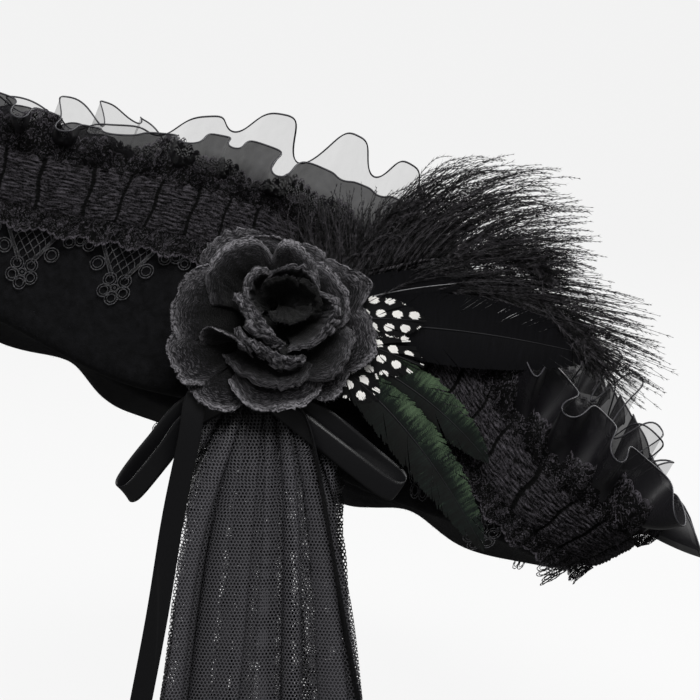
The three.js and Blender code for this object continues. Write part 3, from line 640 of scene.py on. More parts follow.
# Organza ruffles
# Two ruffles of crisp sheer organza, gathered along the foot on either side of the felt's edge: the back
# one single, the front one doubled. The hem is rolled over a fine thread, so that it draws a line round
# every flute.
PRESSED_FROM, PRESSED_TO, PRESS_EASE = np.radians(58), np.radians(99), np.radians(6)
RUFFLE_COLUMNS = 1404
RUFFLE_ROWS = 15
HEM_RADIUS = 0.4


def smoothstep(values, low, high):
    """0 below low, 1 above high and an even S between them."""
    share = np.clip((values - low) / (high - low), 0, 1)
    return share * share * (3 - 2 * share)


def ruffle_sheet(
    waves, drift, lean, foot_down, rise, front_rise, rear_rise, depth, rear_depth, side, pressed, turn,
):
    """Flutes: the hem swings out in waves, sinks where it swings out and doubles back along the brim, so
    that the sides of a flute overhang; the foot is drawn into small gathers."""
    steady = np.linspace(0, TURN, RUFFLE_COLUMNS + 1)
    angle = angle_at(steady / TURN * BRIM_ROUND)
    angle[-1] = TURN
    rear = rear_share(angle)
    entering = smoothstep(angle, PRESSED_FROM - PRESS_EASE, PRESSED_FROM)
    loose = 1 - pressed * (entering - smoothstep(angle, PRESSED_TO, PRESSED_TO + PRESS_EASE))
    wander = 1.5 * np.sin(5 * steady + turn) + 0.9 * np.sin(17 * steady + 2 * turn)
    wander = wander + 0.3 * np.sin(43 * steady + turn)
    phase = waves * steady + drift * wander
    swing = 0.5 - 0.5 * np.cos(phase)
    uneven = 1 + 0.34 * np.sin(9 * steady + turn) + 0.3 * np.sin(23 * steady + 2 * turn)
    wave = (depth + rear_depth * rear) * loose * swing * uneven * 1.15
    dip = np.minimum((0.36 + 0.4 * rear) * swing ** 1.6 * loose * uneven, 0.85)
    hem = (rise + front_rise * front_share(angle) + rear_rise * rear) * (1.05 - dip)
    hem = hem * (1 + 0.14 * np.sin(8 * steady + 2 * turn)) + 2.2 * np.sin(11 * steady + turn)
    foot_line = wall_point(angle, foot_down, side * (FELT / 2 + GAP + 0.4))
    hem_line = above_point(angle, hem, side * (FELT / 2 + GAP + 1.0 + wave))
    along = unit(np.roll(foot_line, -1, 0) - foot_line)
    along[-1] = along[0]
    share = np.linspace(0, 1, RUFFLE_ROWS)[:, None]
    sheet = lerp(foot_line, hem_line, share[..., None])
    overhang = lean * (1.5 * np.sin(2 * phase) + 1.4 * np.sin(phase + 0.6)) * (1 + 1.5 * rear) * uneven
    sway = overhang * loose * share ** 1.4
    belly = side * 2.6 * loose * (swing - 0.35) * np.sin(np.pi * share)
    gathers = side * 0.5 * np.sin(3 * phase) * (1 - share) ** 1.5
    sheet = sheet + along * sway[..., None] + wall_normal(angle, 0) * (belly + gathers)[..., None]
    width = np.linalg.norm(np.diff(sheet[-1], axis=0), axis=-1)
    uv = vec(np.concatenate([[0], np.cumsum(width)]), share * rise + 100)
    return sheet, uv


def organza_material(name, at_foot, at_hem):
    """Nylon organza: sheer, denser where it is gathered at its foot, with a soft gleam on its folds. Its
    open weave is too fine to show, and is drawn as a nearly even see-through tone."""
    material, tree = new_material(
        name, Base_Color=linear("0e0d10"), Roughness=0.45, Specular_IOR_Level=0.22, Sheen_Weight=0.02,
        Sheen_Roughness=0.35,
    )
    map_uv = node(tree, "UVMap", uv_map="pattern")
    cloudy = node(tree, "TexNoise", {"Vector": map_uv, "Scale": 0.3, "Detail": 2.0})
    height_up = node(tree, "SeparateXYZ", {0: map_uv})
    up_sheet = {"Value": height_up.outputs["Y"], "From Min": 100.0, "From Max": 111.0}
    denser = node(tree, "MapRange", {**up_sheet, "To Min": at_foot, "To Max": at_hem})
    node(tree, "Math", {0: cloudy, 1: 0.06, 2: denser}, into="Alpha", operation="MULTIPLY_ADD")
    return material


single_organza = organza_material("single_black_organza", 0.5, 0.2)
double_organza = organza_material("doubled_black_organza", 0.97, 0.84)

# Polyester overlocking thread, black: a tight round roll, its colour raised to a soft grey as a painted
# sheen.
hem_thread = fibre_material(
    "rolled_hem_thread", 1400.0, [(0, "121214"), (1, "3c3b40")], bump=0.6,
    Roughness=0.5, Specular_IOR_Level=0.3,
)

RUFFLES = {
    "front_ruffle": dict(
        waves=54, drift=1.0, lean=1.0, foot_down=0.6, rise=18, front_rise=-7, rear_rise=5, depth=11,
        rear_depth=8, side=1, pressed=0.75, turn=0.0,
    ),
    "back_ruffle": dict(
        waves=38, drift=0.45, lean=0.4, foot_down=7, rise=34, front_rise=-24, rear_rise=2, depth=11,
        rear_depth=3, side=-1, pressed=0, turn=0.1,
    ),
}
for name, sizes in RUFFLES.items():
    sheet, sheet_uv = ruffle_sheet(**sizes)
    cloth = double_organza if sizes["side"] == 1 else single_organza
    faces = grid_faces(*sheet.shape[:2])
    ruffle = new_piece("organza_" + name, tipped(sheet), faces, cloth, uv=sheet_uv, weld=True)
    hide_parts(name)
    hem_out = unit(sheet[-1:, :-1] - sheet[-2:-1, :-1])
    hem = round_cords(tipped(sheet[-1:, :-1]), tipped(hem_out), HEM_RADIUS, 4, True)
    rolled = new_piece("rolled_hem_" + name, hem[0], hem[1], hem_thread)

# Spray pad
# A round of felt that carries the rose and the feathers on its post, sewn through the trimmings to the
# brim's left panel. The spray's frame starts here: level, up the panel and straight out from it.
ROSE_ANGLE, ROSE_DROP = np.radians(59), 49
PAD_RADIUS, PAD_BACK, PAD_FRONT = 26, 8.4, 10.2
POST_RADIUS, POST_FRONT = 12, 18.6
PAD_SIDES = 72
PLUMB = np.array([0, 0, 1.0])
rose_spot = tipped(on_wall(ROSE_ANGLE, ROSE_DROP))
rose_out = tipped(wall_normal(ROSE_ANGLE, ROSE_DROP))
level = unit(np.cross(PLUMB, rose_out))


def sprayed(points):
    """Points of the spray, from level, up and out of the panel to the row frame."""
    return rose_spot + points @ np.stack([level, np.cross(rose_out, level), rose_out])


def hung(points):
    """Points of what hangs plumb from the same place."""
    return rose_spot + points @ np.stack([level, PLUMB, np.cross(level, PLUMB)])


pad_profile = np.array([
    [0, PAD_BACK], [PAD_RADIUS - 0.8, PAD_BACK], [PAD_RADIUS, PAD_BACK + 0.6], [PAD_RADIUS, PAD_FRONT - 0.6],
    [PAD_RADIUS - 0.8, PAD_FRONT], [POST_RADIUS + 1.2, PAD_FRONT], [POST_RADIUS, PAD_FRONT + 1.2],
    [POST_RADIUS, POST_FRONT - 0.8], [POST_RADIUS - 0.8, POST_FRONT], [0, POST_FRONT],
])
turn = np.arange(PAD_SIDES) / PAD_SIDES * TURN
pad_out, pad_up = pad_profile.T[..., None]
pad_points = sprayed(vec(pad_out * np.cos(turn), pad_out * np.sin(turn), pad_up))
pad_faces = grid_faces(len(pad_profile), PAD_SIDES, closed=True)
pad = new_piece("felt_pad", pad_points, pad_faces, felt_cloth, weld=True)
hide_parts("spray_pad")

# Rose
# Petals cut from a stiffened charcoal cloth and shaped over a hot iron ball. Each rises from the foot,
# bellies out to its rim and is turned back there in a flap with a frayed edge. The outer ones lie nearly
# flat, and the inner ones cup round a dark hollow.
ROSE_BACK = 18.9
# Each petal: its rim from one end to the other, its foot, how far it bellies out and lifts, how far it
# turns back in degrees, and the width of its flap.
PETALS = {}
PETALS["rose_outer_petals"] = [
    ([(-24.5, 25, 5), (-14, 32.5, 7), (-3, 34.5, 9), (6.5, 32.5, 8), (13, 27, 5)],
     (-3, 8, 1), 3, 5, 60, 2.5),
    ([(7.5, 30.5, 6), (16, 30.5, 8), (28.5, 22, 9), (38.5, 16.5, 7), (34, 3.5, 4)],
     (7, 4, 1), 2, 6, 45, 2.5),
    ([(29.5, 9, 2.5), (38.5, 3.5, 4), (40.5, -8, 5), (37, -15.5, 4), (29.5, -20.5, 2)],
     (8, -1, 1), 1, 5, 50, 2.5),
    ([(34, -13, 1), (30, -21.5, 3), (24.5, -28, 4), (19, -30, 3), (12.5, -29, 1)],
     (5, -8, 0.5), 1, 4, 40, 2),
    ([(20, -19.5, 5), (16, -29, 6), (4, -32.5, 7), (-8.5, -32, 6.5), (-17, -22, 5)],
     (0, -8, 1), 2, 7, 95, 4.5),
    ([(-9.5, -30, 1.5), (-18, -33.5, 3), (-28.5, -30.5, 3.5), (-33, -26, 3), (-34, -19.5, 1)],
     (-7, -7, 0.5), 1, 5, 60, 2.5),
    ([(-26.5, -24, 4), (-35, -21.5, 5), (-41.5, -12, 6), (-39.5, -6, 5), (-36, -1.5, 4)],
     (-8, -4, 0.8), 1, 6, 75, 3.5),
    ([(-37, -8, 5), (-39.5, 3.5, 7), (-36, 15.5, 9), (-28.5, 21, 9), (-19, 22, 7)],
     (-8, 2, 1), 3, 7, 60, 3),
    ([(-15, 24, 3), (-28.5, 25, 4), (-24.5, 31.5, 5), (-13, 37.5, 5), (-4, 37.5, 3)],
     (-5, 8, 0.5), 1, 4, 40, 2),
]
PETALS["rose_middle_petals"] = [
    ([(-24.5, 7, 8), (-25.5, 20.5, 14), (-17, 30.5, 17), (-5.5, 32.5, 18), (1, 25, 13)],
     (-3, 6, 1.5), 6, 4, 70, 3),
    ([(-1, 24, 12), (3, 30.5, 17), (9.5, 31, 18), (16, 25, 17), (19, 14.5, 12)],
     (3, 6, 1.5), 5, 4, 70, 2.5),
    ([(14, 25, 11), (22.5, 21, 14), (29.5, 11, 15), (28.5, 1.5, 13), (22.5, -3.5, 10)],
     (6, 3, 1.5), 6, 3, 50, 2.5),
    ([(29.5, -0.5, 9), (31.5, -3.5, 13), (29.5, -13.5, 14), (22.5, -21.5, 12), (11.5, -22, 9)],
     (5, -4, 1.5), 6, 4, 60, 2.5),
    ([(-28.5, -9, 6), (-26.5, -1.5, 13), (-19, -3.5, 17), (-11.5, -8, 17), (-7.5, -13.5, 12)],
     (-5, -7, 1.5), 8, 4, 40, 1.8),
    ([(-20, -13, 8), (-13, -19.5, 11), (0, -24, 13), (11.5, -23, 12), (18, -17.5, 9)],
     (0, -5, 1.5), 5, 5, 50, 2.5),
]
PETALS["rose_inner_petals"] = [
    ([(-13, -1.5, 15), (-9.5, -5, 19), (-1, -10, 20), (7.5, -13.5, 19), (14, -13, 15)],
     (0, 0, 2.5), 8, -2, 150, 6.4),
    ([(-12.5, 12.5, 14), (-9.5, 10, 19), (-4, 3.5, 21), (2, -4.5, 20), (5.5, -8, 16)],
     (-2, 3, 2.5), 6, -1, 152, 6.6),
    ([(6.5, -10, 14), (17, -6, 18), (23.5, 2.5, 20), (24, 9, 20), (18, 12.5, 16)],
     (3, 2, 2.5), 7, -2, 120, 3.4),
    ([(19, 7, 14), (18, 16.5, 17), (11.5, 22, 18), (3, 22, 17), (-3, 16.5, 14)],
     (3, 7, 2.5), 5, 0, 60, 1.5),
    ([(2, 19.5, 14), (-4.5, 20.5, 18), (-8.5, 14.5, 19), (-8, 8, 18), (-4, 4, 14)],
     (0, 7, 2.5), 4, -1, 120, 2.6),
]
PETALS["rose_bud"] = [
    ([(-3, 11, 13), (-2, 15.5, 17), (3, 18, 18), (7.5, 18.5, 17), (10.5, 15.5, 14)],
     (5, 10, 3), 3, 0, 70, 1.2),
    ([(8.5, 17.5, 13), (13, 16.5, 16), (18, 11, 17), (18.5, 6, 16), (14, 3.5, 13)],
     (6, 9, 3), 4, 0, 100, 1.6),
    ([(16, 8, 13), (13, 3.5, 15), (7.5, 1.5, 15.5), (2, 2.5, 15), (-1, 6, 13)], (5, 8, 3), 3, 0, 60, 1.0),
    ([(3, 12.5, 6), (5.5, 14.5, 7), (9.5, 12.5, 7), (10.5, 10, 6.5), (8.5, 7, 6)],
     (6, 10, 3), 1, 0, 30, 0.5),
]
PETAL_ACROSS, PETAL_ALONG, PETAL_FLAP = 44, 20, 9
ROLL_RADIUS, PETAL_THICK = 0.9, 0.45


def catmull(points, share):
    """A smooth curve that passes through every point, by Catmull and Rom's cubic between each two."""
    points = np.asarray(points, float)
    ends = np.concatenate([[2 * points[0] - points[1]], points, [2 * points[-1] - points[-2]]])
    at = np.clip(share, 0, 0.999999) * (len(points) - 1)
    k = at.astype(int)
    t = (at - k)[:, None]
    a, b, c, d = ends[k], ends[k + 1], ends[k + 2], ends[k + 3]
    curve = 2 * b + (c - a) * t + (2 * a - 5 * b + 4 * c - d) * t ** 2
    return 0.5 * (curve + (3 * b - a - 3 * c + d) * t ** 3)


def petal(rim, foot, belly, lift, turns_back, flap, seed):
    """Quadratic runs from a narrow foot to the rim, bellied away from the rose's axis; past the rim each
    run rolls round a small circle and lies back as a flap, widest in the middle and frayed."""
    rng = np.random.default_rng(seed)
    s = np.linspace(0, 1, PETAL_ACROSS)
    line = catmull(rim, s)
    foot = np.array(foot, float)
    level_out = (line.mean(0) - foot) * [1, 1, 0]
    outward = unit(level_out)
    narrow = foot + (line - line.mean(0)) * [0.3, 0.3, 0.06]
    wave = sum(rng.uniform(-1, 1) * np.sin(k * np.pi * s + rng.uniform(0, TURN)) / k for k in (2, 3, 5, 7))
    ragged = rng.normal(0, 0.3, PETAL_ACROSS) + 0.3 * np.sin(27 * s + 4 * seed) * np.sin(13 * s + seed)
    line = line + outward * (0.9 * wave + ragged)[:, None] + PLUMB * (0.7 * np.roll(wave, 5))[:, None]
    control = lerp(narrow, line, 0.55) + outward * belly + PLUMB * lift
    t = np.linspace(0, 1, PETAL_ALONG)[:, None, None]
    body = quadratic(narrow, control, line, t)
    dent = np.sin(7 * s + 5 * t[..., 0] + seed) * np.sin(4 * t[..., 0] - 3 * s + 2 * seed)
    dent = dent + 0.5 * np.sin(19 * s - 6 * t[..., 0] + 3 * seed) * np.sin(11 * t[..., 0] + 8 * s + seed)
    arrive = unit(line - control)
    along = unit(np.gradient(line, axis=0))
    away = unit(np.cross(along, arrive))
    away = away * np.sign(np.sum(away * (outward + 0.4 * PLUMB * (belly < 4)), -1).mean())
    body = body + away * (0.75 * dent * np.sin(np.pi * np.minimum(t[..., 0], 0.9)))[..., None]
    full = np.radians(turns_back)
    width = flap * np.sin(np.pi * np.clip(s * 0.94 + 0.03, 0, 1)) ** 0.55
    uneven = 1 + 0.25 * np.sin(9 * s + seed) + rng.normal(0, 0.12, PETAL_ACROSS)
    width = width * uneven
    steps = np.linspace(0, 1, PETAL_FLAP + 1)[1:, None]
    roll_share = np.minimum(1, steps * 2)
    lie_share = np.maximum(0, steps * 2 - 1)
    angle = full * roll_share * np.minimum(1, width / flap + 0.3)
    bow = ROLL_RADIUS * (0.5 + 0.5 * width / flap)
    over = bow * np.sin(angle) + np.cos(angle) * lie_share * width
    back = bow * (1 - np.cos(angle)) + np.sin(angle) * lie_share * width
    back = back + 0.35 * lie_share * np.sin(23 * s + 3 * seed) * np.minimum(1, flap / 3)
    rolled = line + arrive * over[..., None] + away * back[..., None]
    sheet = np.concatenate([body, rolled])
    return sheet + PLUMB * ROSE_BACK


# Starched cotton sateen, dyed charcoal: a soft matt cloth. Along the turned edges it is paler, with dust and
# a painted highlight, and towards each petal's foot it is darkened by painted shade, nearly black down in
# the rose. Its weave is drawn coarser than it is, so that it shows.
rose_cloth, tree = new_material(
    "starched_cotton_petals", Roughness=0.75, Specular_IOR_Level=0.12, Sheen_Weight=0.04,
    Sheen_Roughness=0.5,
)
map_uv = node(tree, "UVMap", uv_map="pattern")
from_foot = node(tree, "SeparateXYZ", {0: map_uv}).outputs["Y"]
slanted = node(tree, "Mapping", {"Vector": map_uv, "Rotation": (0, 0, 0.8), "Scale": (0.5, 1.6, 1.0)})
weave = node(tree, "TexNoise", {"Vector": slanted, "Scale": 0.9, "Detail": 3.0, "Roughness": 0.7})
dust = node(tree, "TexNoise", {"Vector": map_uv, "Scale": 1.1, "Detail": 3.0, "Roughness": 0.7})
blotch = node(tree, "TexNoise", {"Vector": map_uv, "Scale": 0.16, "Detail": 4.0, "Roughness": 0.6})
# Painted shade, deepest at the foot of each petal, and a paler rim that is partly dust and partly painted
# highlight.
painted_hollow_shade = node(tree, "MapRange", {"Value": from_foot, "From Min": 13.0, "From Max": 35.0, "To Max": 0.4})
rim_dust_and_highlight = node(tree, "MapRange", {"Value": from_foot, "From Min": 35.0, "From Max": 41.0, "To Max": 0.26})
grain = node(tree, "MapRange", {"Value": weave, "From Min": 0.38, "From Max": 0.62, "To Max": 0.34})
worn = node(tree, "MapRange", {"Value": dust, "From Min": 0.42, "From Max": 0.6})
share = node(tree, "Math", {0: worn, 1: rim_dust_and_highlight, 2: painted_hollow_shade}, operation="MULTIPLY_ADD")
share = node(tree, "Math", {0: grain, 1: share}, operation="ADD")
share = node(tree, "Math", {0: blotch, 1: 0.3, 2: share}, operation="MULTIPLY_ADD")
node(tree, "ValToRGB", {"Fac": share}, [(0.44, "030303"), (1.0, "7c7a7e"), (0.68, "1d1c1f")], "Base Color")
relief = node(tree, "Math", {0: weave, 1: dust}, operation="ADD")
node(tree, "Bump", {"Height": relief, "Strength": 1.0, "Distance": 0.0012}, into="Normal")

petal_rows = PETAL_ALONG + PETAL_FLAP
petal_faces = grid_faces(petal_rows, PETAL_ACROSS)
up_petal = np.concatenate([np.linspace(0, 36, PETAL_ALONG), np.linspace(37, 41, PETAL_FLAP)])
petal_uv = vec(np.linspace(-20, 20, PETAL_ACROSS), up_petal[:, None])
# The further in a ring of petals lies, the more painted shade it gets; the bud's petals are nearly black
# with it.
PETAL_PAINTED_LIGHT = (1, 0.98, 0.92, 0.4)
rims = []
for cup, (name, rows) in enumerate(PETALS.items()):
    sheets = np.stack([petal(*row, seed=10 * cup + i) for i, row in enumerate(rows)])
    rims.append(sheets[:, -3:])
    apart = np.arange(len(sheets))[:, None, None, None] * np.array([50.0, 0])
    shifted = petal_uv * [1, PETAL_PAINTED_LIGHT[cup]] + apart
    uv = np.broadcast_to(shifted, (*sheets.shape[:3], 2))
    faces = repeated(petal_faces, len(sheets), PETAL_ACROSS * petal_rows)
    piece = new_piece("cloth_" + name, sprayed(sheets), faces, rose_cloth, uv=uv)
    thick = piece.modifiers.new("cloth", "SOLIDIFY")
    thick.thickness = PETAL_THICK * MM
    thick.offset = 0
    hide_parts(name)

# Fray
# Threads of the petals' own cloth that have worked loose from its cut edges, which have no hem, and
# stand out a millimetre or so.
FRAY_PER_PETAL = 120
rng = np.random.default_rng(21)
rim_rows = np.concatenate(rims)
picks = rng.uniform(0, PETAL_ACROSS - 1.01, (len(rim_rows), FRAY_PER_PETAL))
low = picks.astype(int)
petal_number = np.arange(len(rim_rows))[:, None]
at_rim = lerp(rim_rows[petal_number, 2, low], rim_rows[petal_number, 2, low + 1], (picks - low)[..., None])
before_rim = rim_rows[petal_number, 1, low]
outwards = unit(at_rim - before_rim + 1e-6)
fray_way = unit(outwards + rng.normal(0, 0.5, outwards.shape))
fray_tip = at_rim + fray_way * rng.uniform(0.3, 1.5, (*picks.shape, 1))
fray_side = unit(np.cross(fray_way, rng.normal(size=fray_way.shape))) * 0.07
fray_points = np.stack([at_rim - fray_side, at_rim + fray_side, fray_tip], 2)
fray_faces = np.arange(picks.size * 3).reshape(-1, 3)
fray_uv = np.full((picks.size * 3, 2), 36.0)
new_piece("rose_fray", sprayed(fray_points), fray_faces, rose_cloth, uv=fray_uv)

# Flat feathers
# Two smooth black goose feathers, two green cock's feathers and three spotted ones, laid over each other
# with their quills under the rose. Each is a quill with a web of barbs on either side.
VANE, LAYER, VANES_BACK, VANES_LEAN, HINGE = 0.8, 1.1, 13.1, np.radians(4), 20
BARB_STEPS, BARB_PITCH = 8, 0.45


def bezier(points, share):
    """A quadratic curve through a root, towards a bend and to a tip, and its direction."""
    root, corner, tip = np.asarray(points, float)
    t = share[..., None]
    return quadratic(root, corner, tip, t), unit((corner - root) * (1 - t) + (tip - corner) * t)


def feather(root, corner, tip, wide, layer, ragged, seed, reach):
    """A web of barbs. Each leaves the quill, runs a share of its length towards the tip and ends on the
    leaf's outline; a barb is a thin strip, tilted a little, so that the web is ribbed along its barbs."""
    rng = np.random.default_rng(seed)
    length = np.linalg.norm(np.subtract(corner, root)) + np.linalg.norm(np.subtract(tip, corner))
    count = int(length / BARB_PITCH)
    start = np.linspace(0.04, 0.985, count)[:, None]
    tau = np.linspace(0, 1, BARB_STEPS)
    base = VANES_BACK + LAYER * layer + VANE / 2
    strips, uvs = [], []
    for side in (-1, 1):
        swept = 1 + rng.normal(0, ragged * 3, (count, 1)) + 0.25 * np.sin(start * 40 + seed) * ragged * 10
        swept = reach * swept
        share = np.minimum(start + swept * tau ** 1.25, 1)
        end = np.minimum(start + swept, 1)
        leaf = np.sin(np.pi * np.minimum(end, 0.999) ** 1.15) ** 0.65
        half = wide / 2 * leaf * (1 + rng.normal(0, ragged, (count, 1)))
        centre, along = bezier((root, corner, tip), share)
        normal = np.stack([-along[..., 1], along[..., 0]], -1)
        spot = centre + normal * (side * half * tau)[..., None]
        run = unit(np.gradient(spot, axis=1))
        thin = BARB_PITCH * (0.85 - 0.3 * tau ** 2) * np.ones((count, 1))
        edge = np.stack([-run[..., 1], run[..., 0]], -1) * thin[..., None]
        sink = -0.5 * tau ** 2 + 0.02 * rng.normal(size=(count, 1)) * tau
        z = base + (spot[..., 0] - HINGE) * np.tan(VANES_LEAN) + sink
        tilt = 0.09 * np.ones_like(z)
        left = vec(spot[..., 0] - edge[..., 0], spot[..., 1] - edge[..., 1], z - tilt)
        right = vec(spot[..., 0] + edge[..., 0], spot[..., 1] + edge[..., 1], z + tilt)
        strips.append(np.stack([left, right], 2))
        place_along = share * length + rng.normal(0, 0.12, (count, 1))
        across = side * half * tau + 40
        edges = [vec(place_along + way * BARB_PITCH / 2, across) for way in (-1, 1)]
        uvs.append(np.stack(edges, 2))
    strips, uvs = np.concatenate(strips), np.concatenate(uvs)
    faces = repeated(grid_faces(BARB_STEPS, 2), 2 * count, BARB_STEPS * 2)
    quill_share = np.linspace(-0.02, 0.96, 40)
    quill_at, _ = bezier((root, corner, tip), quill_share)
    quill_z = base + (quill_at[:, 0] - HINGE) * np.tan(VANES_LEAN) + 0.1
    quill_path = vec(quill_at[:, 0], quill_at[:, 1], quill_z)[None]
    thick = np.linspace(0.55, 0.12, 40)[None]
    quill = round_cords(quill_path, np.broadcast_to([0, 0, 1.0], quill_path.shape), thick, 6)
    return (strips.reshape(-1, 3), [faces]), uvs.reshape(-1, 2), quill


def feather_material(name, roughness, gloss):
    """Keratin: barbs lying side by side, glossy along the web and streaked along each barb."""
    material, tree = new_material(name, Roughness=roughness, Specular_IOR_Level=gloss)
    map_uv = node(tree, "UVMap", uv_map="pattern")
    along_barbs = node(tree, "Mapping", {"Vector": map_uv, "Scale": (2.4, 0.1, 1.0)})
    streaks = node(tree, "TexNoise", {"Vector": along_barbs, "Scale": 1.0, "Detail": 4.0, "Roughness": 0.7})
    return material, tree, map_uv, streaks


black_vane, tree, map_uv, streaks = feather_material("black_goose_feather", 0.55, 0.12)
node(tree, "ValToRGB", {"Fac": streaks}, [(0.36, "040405"), (0.7, "0e0e11")], "Base Color")
green_vane, tree, map_uv, streaks = feather_material("green_cock_feather", 0.45, 0.3)
# Painted sheen: pale grey-green patches on the dark green-black barbs, stronger towards one side of the web
# and weaker on the other.
patchy = node(tree, "TexNoise", {"Vector": map_uv, "Scale": 0.07, "Detail": 2.0})
parts = node(tree, "SeparateXYZ", {0: map_uv})
outer = {"Value": parts.outputs["Y"], "From Min": 38.0, "From Max": 48.0, "To Min": -0.07, "To Max": 0.2}
outer = node(tree, "MapRange", outer)
painted_sheen = node(tree, "Math", {0: patchy, 1: 0.4, 2: outer}, operation="MULTIPLY_ADD")
total = node(tree, "Math", {0: streaks, 1: 0.9, 2: painted_sheen}, operation="MULTIPLY_ADD")
node(tree, "ValToRGB", {"Fac": total}, [(0.56, "040504"), (0.98, "566a50"), (0.74, "0d1613")], "Base Color")

# Guineafowl: black barbs with white ovals in staggered rows, about 7 mm apart, broken up by the barbs.
spotted_vane, tree, map_uv, streaks = feather_material("spotted_guineafowl_feather", 0.6, 0.2)
DOT_ALONG, DOT_ACROSS, DOT_LONG, DOT_WIDE = 6.6, 5.6, 2.05, 1.6
parts = node(tree, "SeparateXYZ", {0: map_uv})
row_share = node(tree, "Math", {0: parts.outputs["Y"], 1: 1 / DOT_ACROSS}, operation="MULTIPLY")
row_number = node(tree, "Math", {0: row_share}, operation="FLOOR")
odd = node(tree, "Math", {0: row_number, 1: 2.0}, operation="MODULO")
shifted = node(tree, "Math", {0: odd, 1: DOT_ALONG / 2, 2: parts}, operation="MULTIPLY_ADD")
column_share = node(tree, "Math", {0: shifted, 1: 1 / DOT_ALONG}, operation="MULTIPLY")
offsets = []
for share, pitch, size in ((column_share, DOT_ALONG, DOT_LONG), (row_share, DOT_ACROSS, DOT_WIDE)):
    left_over = node(tree, "Math", {0: share}, operation="FRACT")
    centred = node(tree, "Math", {0: left_over, 1: 0.5}, operation="SUBTRACT")
    scaled = node(tree, "Math", {0: centred, 1: pitch / size}, operation="MULTIPLY")
    offsets.append(node(tree, "Math", {0: scaled, 1: 2.0}, operation="POWER"))
squared = node(tree, "Math", {0: offsets[0], 1: offsets[1]}, operation="ADD")
dot = node(tree, "Math", {0: squared, 1: 1.0}, operation="LESS_THAN")
barb_tone = node(tree, "ValToRGB", {"Fac": streaks}, [(0.36, "060607"), (0.7, "121213")])
node(tree, "Mix", {0: dot, 6: barb_tone, 7: linear("eeece8")}, into="Base Color", data_type="RGBA")

# A feather's quill is a hollow keratin shaft, paler than its web.
quill_horn = fibre_material("feather_quill", 120.0, [(0, "3a3a3c"), (1, "8a8a8c")], Roughness=0.35)
dark_quill = fibre_material(
    "dark_feather_quill", 120.0, [(0, "0e0e10"), (1, "1e1e20")], Roughness=0.6, Specular_IOR_Level=0.15,
)

# Each piece: its materials, slot and raggedness, and its feathers as root, bend, tip, width and layer.
FEATHERS = {
    "black_feather_upper": (
        black_vane, quill_horn, "black_feather", 0.01, [((18, 3), (40, 14), (80, 17), 17, 0)],
    ),
    "black_feather_lower": (
        black_vane, dark_quill, "black_feather", 0.01, [((18, -2), (70, 3), (136, -14), 30, 1)],
    ),
    "green_feather_short": (
        green_vane, dark_quill, "green_feather", 0.05, [((18, -7), (62, -22), (90, -58), 18, 2)],
    ),
    "green_feather_long": (
        green_vane, dark_quill, "green_feather", 0.05, [((17, -10), (60, -38), (88, -95), 20, 3)],
    ),
    "spotted_feathers": (spotted_vane, dark_quill, "spotted_feather", 0.05, [
        ((20, 2), (40, 3), (64, 1), 18, 4.2), ((19, -3), (40, -8), (63, -18), 21, 4),
        ((17, -9), (30, -18), (44, -32), 19, 3.8),
    ]),
}
for name, (vane, horn, slot, ragged, leaves) in FEATHERS.items():
    webs, uvs, quills = [], [], []
    for i, (root, corner, tip, wide, layer) in enumerate(leaves):
        reach = min(0.3, 14 / np.hypot(tip[0] - root[0], tip[1] - root[1]))
        web, uv, quill = feather(root, corner, tip, wide, layer, ragged, 31 + i + len(name), reach)
        webs.append(web)
        uvs.append(uv)
        quills.append(quill)
    web, quill = joined(webs), joined(quills)
    piece = new_piece(name + "_web", sprayed(web[0]), web[1], vane, uv=np.concatenate(uvs))
    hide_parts(name)
    new_piece(name + "_quill", sprayed(quill[0]), quill[1], horn)

# Ostrich plumes and marabou
# Two short ostrich plumes, whose long barbs carry soft barbules and droop at their tips, and a puff of
# marabou down behind the rose. The barbules are drawn fewer and thicker than they are, to show.
PLUMES = {
    "plume_upper": dict(
        shaft=[(15, 8, 11.6), (40, 21, 12.5), (64, 27, 13.5), (96, 26, 16), (118, 21, 19)],
        tips=[
            (52, 40, 14), (62, 56, 15), (76, 70, 16), (90, 72, 18), (105, 72, 20), (117, 68, 22),
            (125, 58, 23), (129, 46, 24), (131, 34, 24), (130, 22, 23), (112, 17, 22),
        ],
        lag=0.7, rising=0.85, seed=3,
    ),
    "plume_lower": dict(
        shaft=[(15, 2, 11.6), (55, 14, 12.5), (84, 16, 15), (112, 10, 17), (134, -6, 20)],
        tips=[
            (92, 32, 18), (110, 33, 19), (130, 27, 20), (144, 19, 21), (155, 11, 22), (160, 0, 22),
            (161, -14, 23), (158, -25, 23), (150, -27, 23), (140, -22, 23), (130, -18, 22),
        ],
        lag=0.8, rising=0.62, seed=4,
    ),
}
PLUME_BARBS, BARB_POINTS, BARBULES = 600, 12, 30


def smooth_path(points, share):
    """A path through points, eased by cosine weights of its straight pieces."""
    points = np.asarray(points, float)
    knots = np.linspace(0, 1, len(points))
    dense = np.linspace(0, 1, 400)
    straight = np.stack([np.interp(dense, knots, points[:, i]) for i in range(3)], -1)
    kernel = np.hanning(61)
    padded = np.concatenate([np.repeat(straight[:1], 30, 0), straight, np.repeat(straight[-1:], 30, 0)])
    eased = np.stack([np.convolve(padded[:, i], kernel / kernel.sum(), "valid") for i in range(3)], -1)
    return np.stack([np.interp(share, dense, eased[:, i]) for i in range(3)], -1)


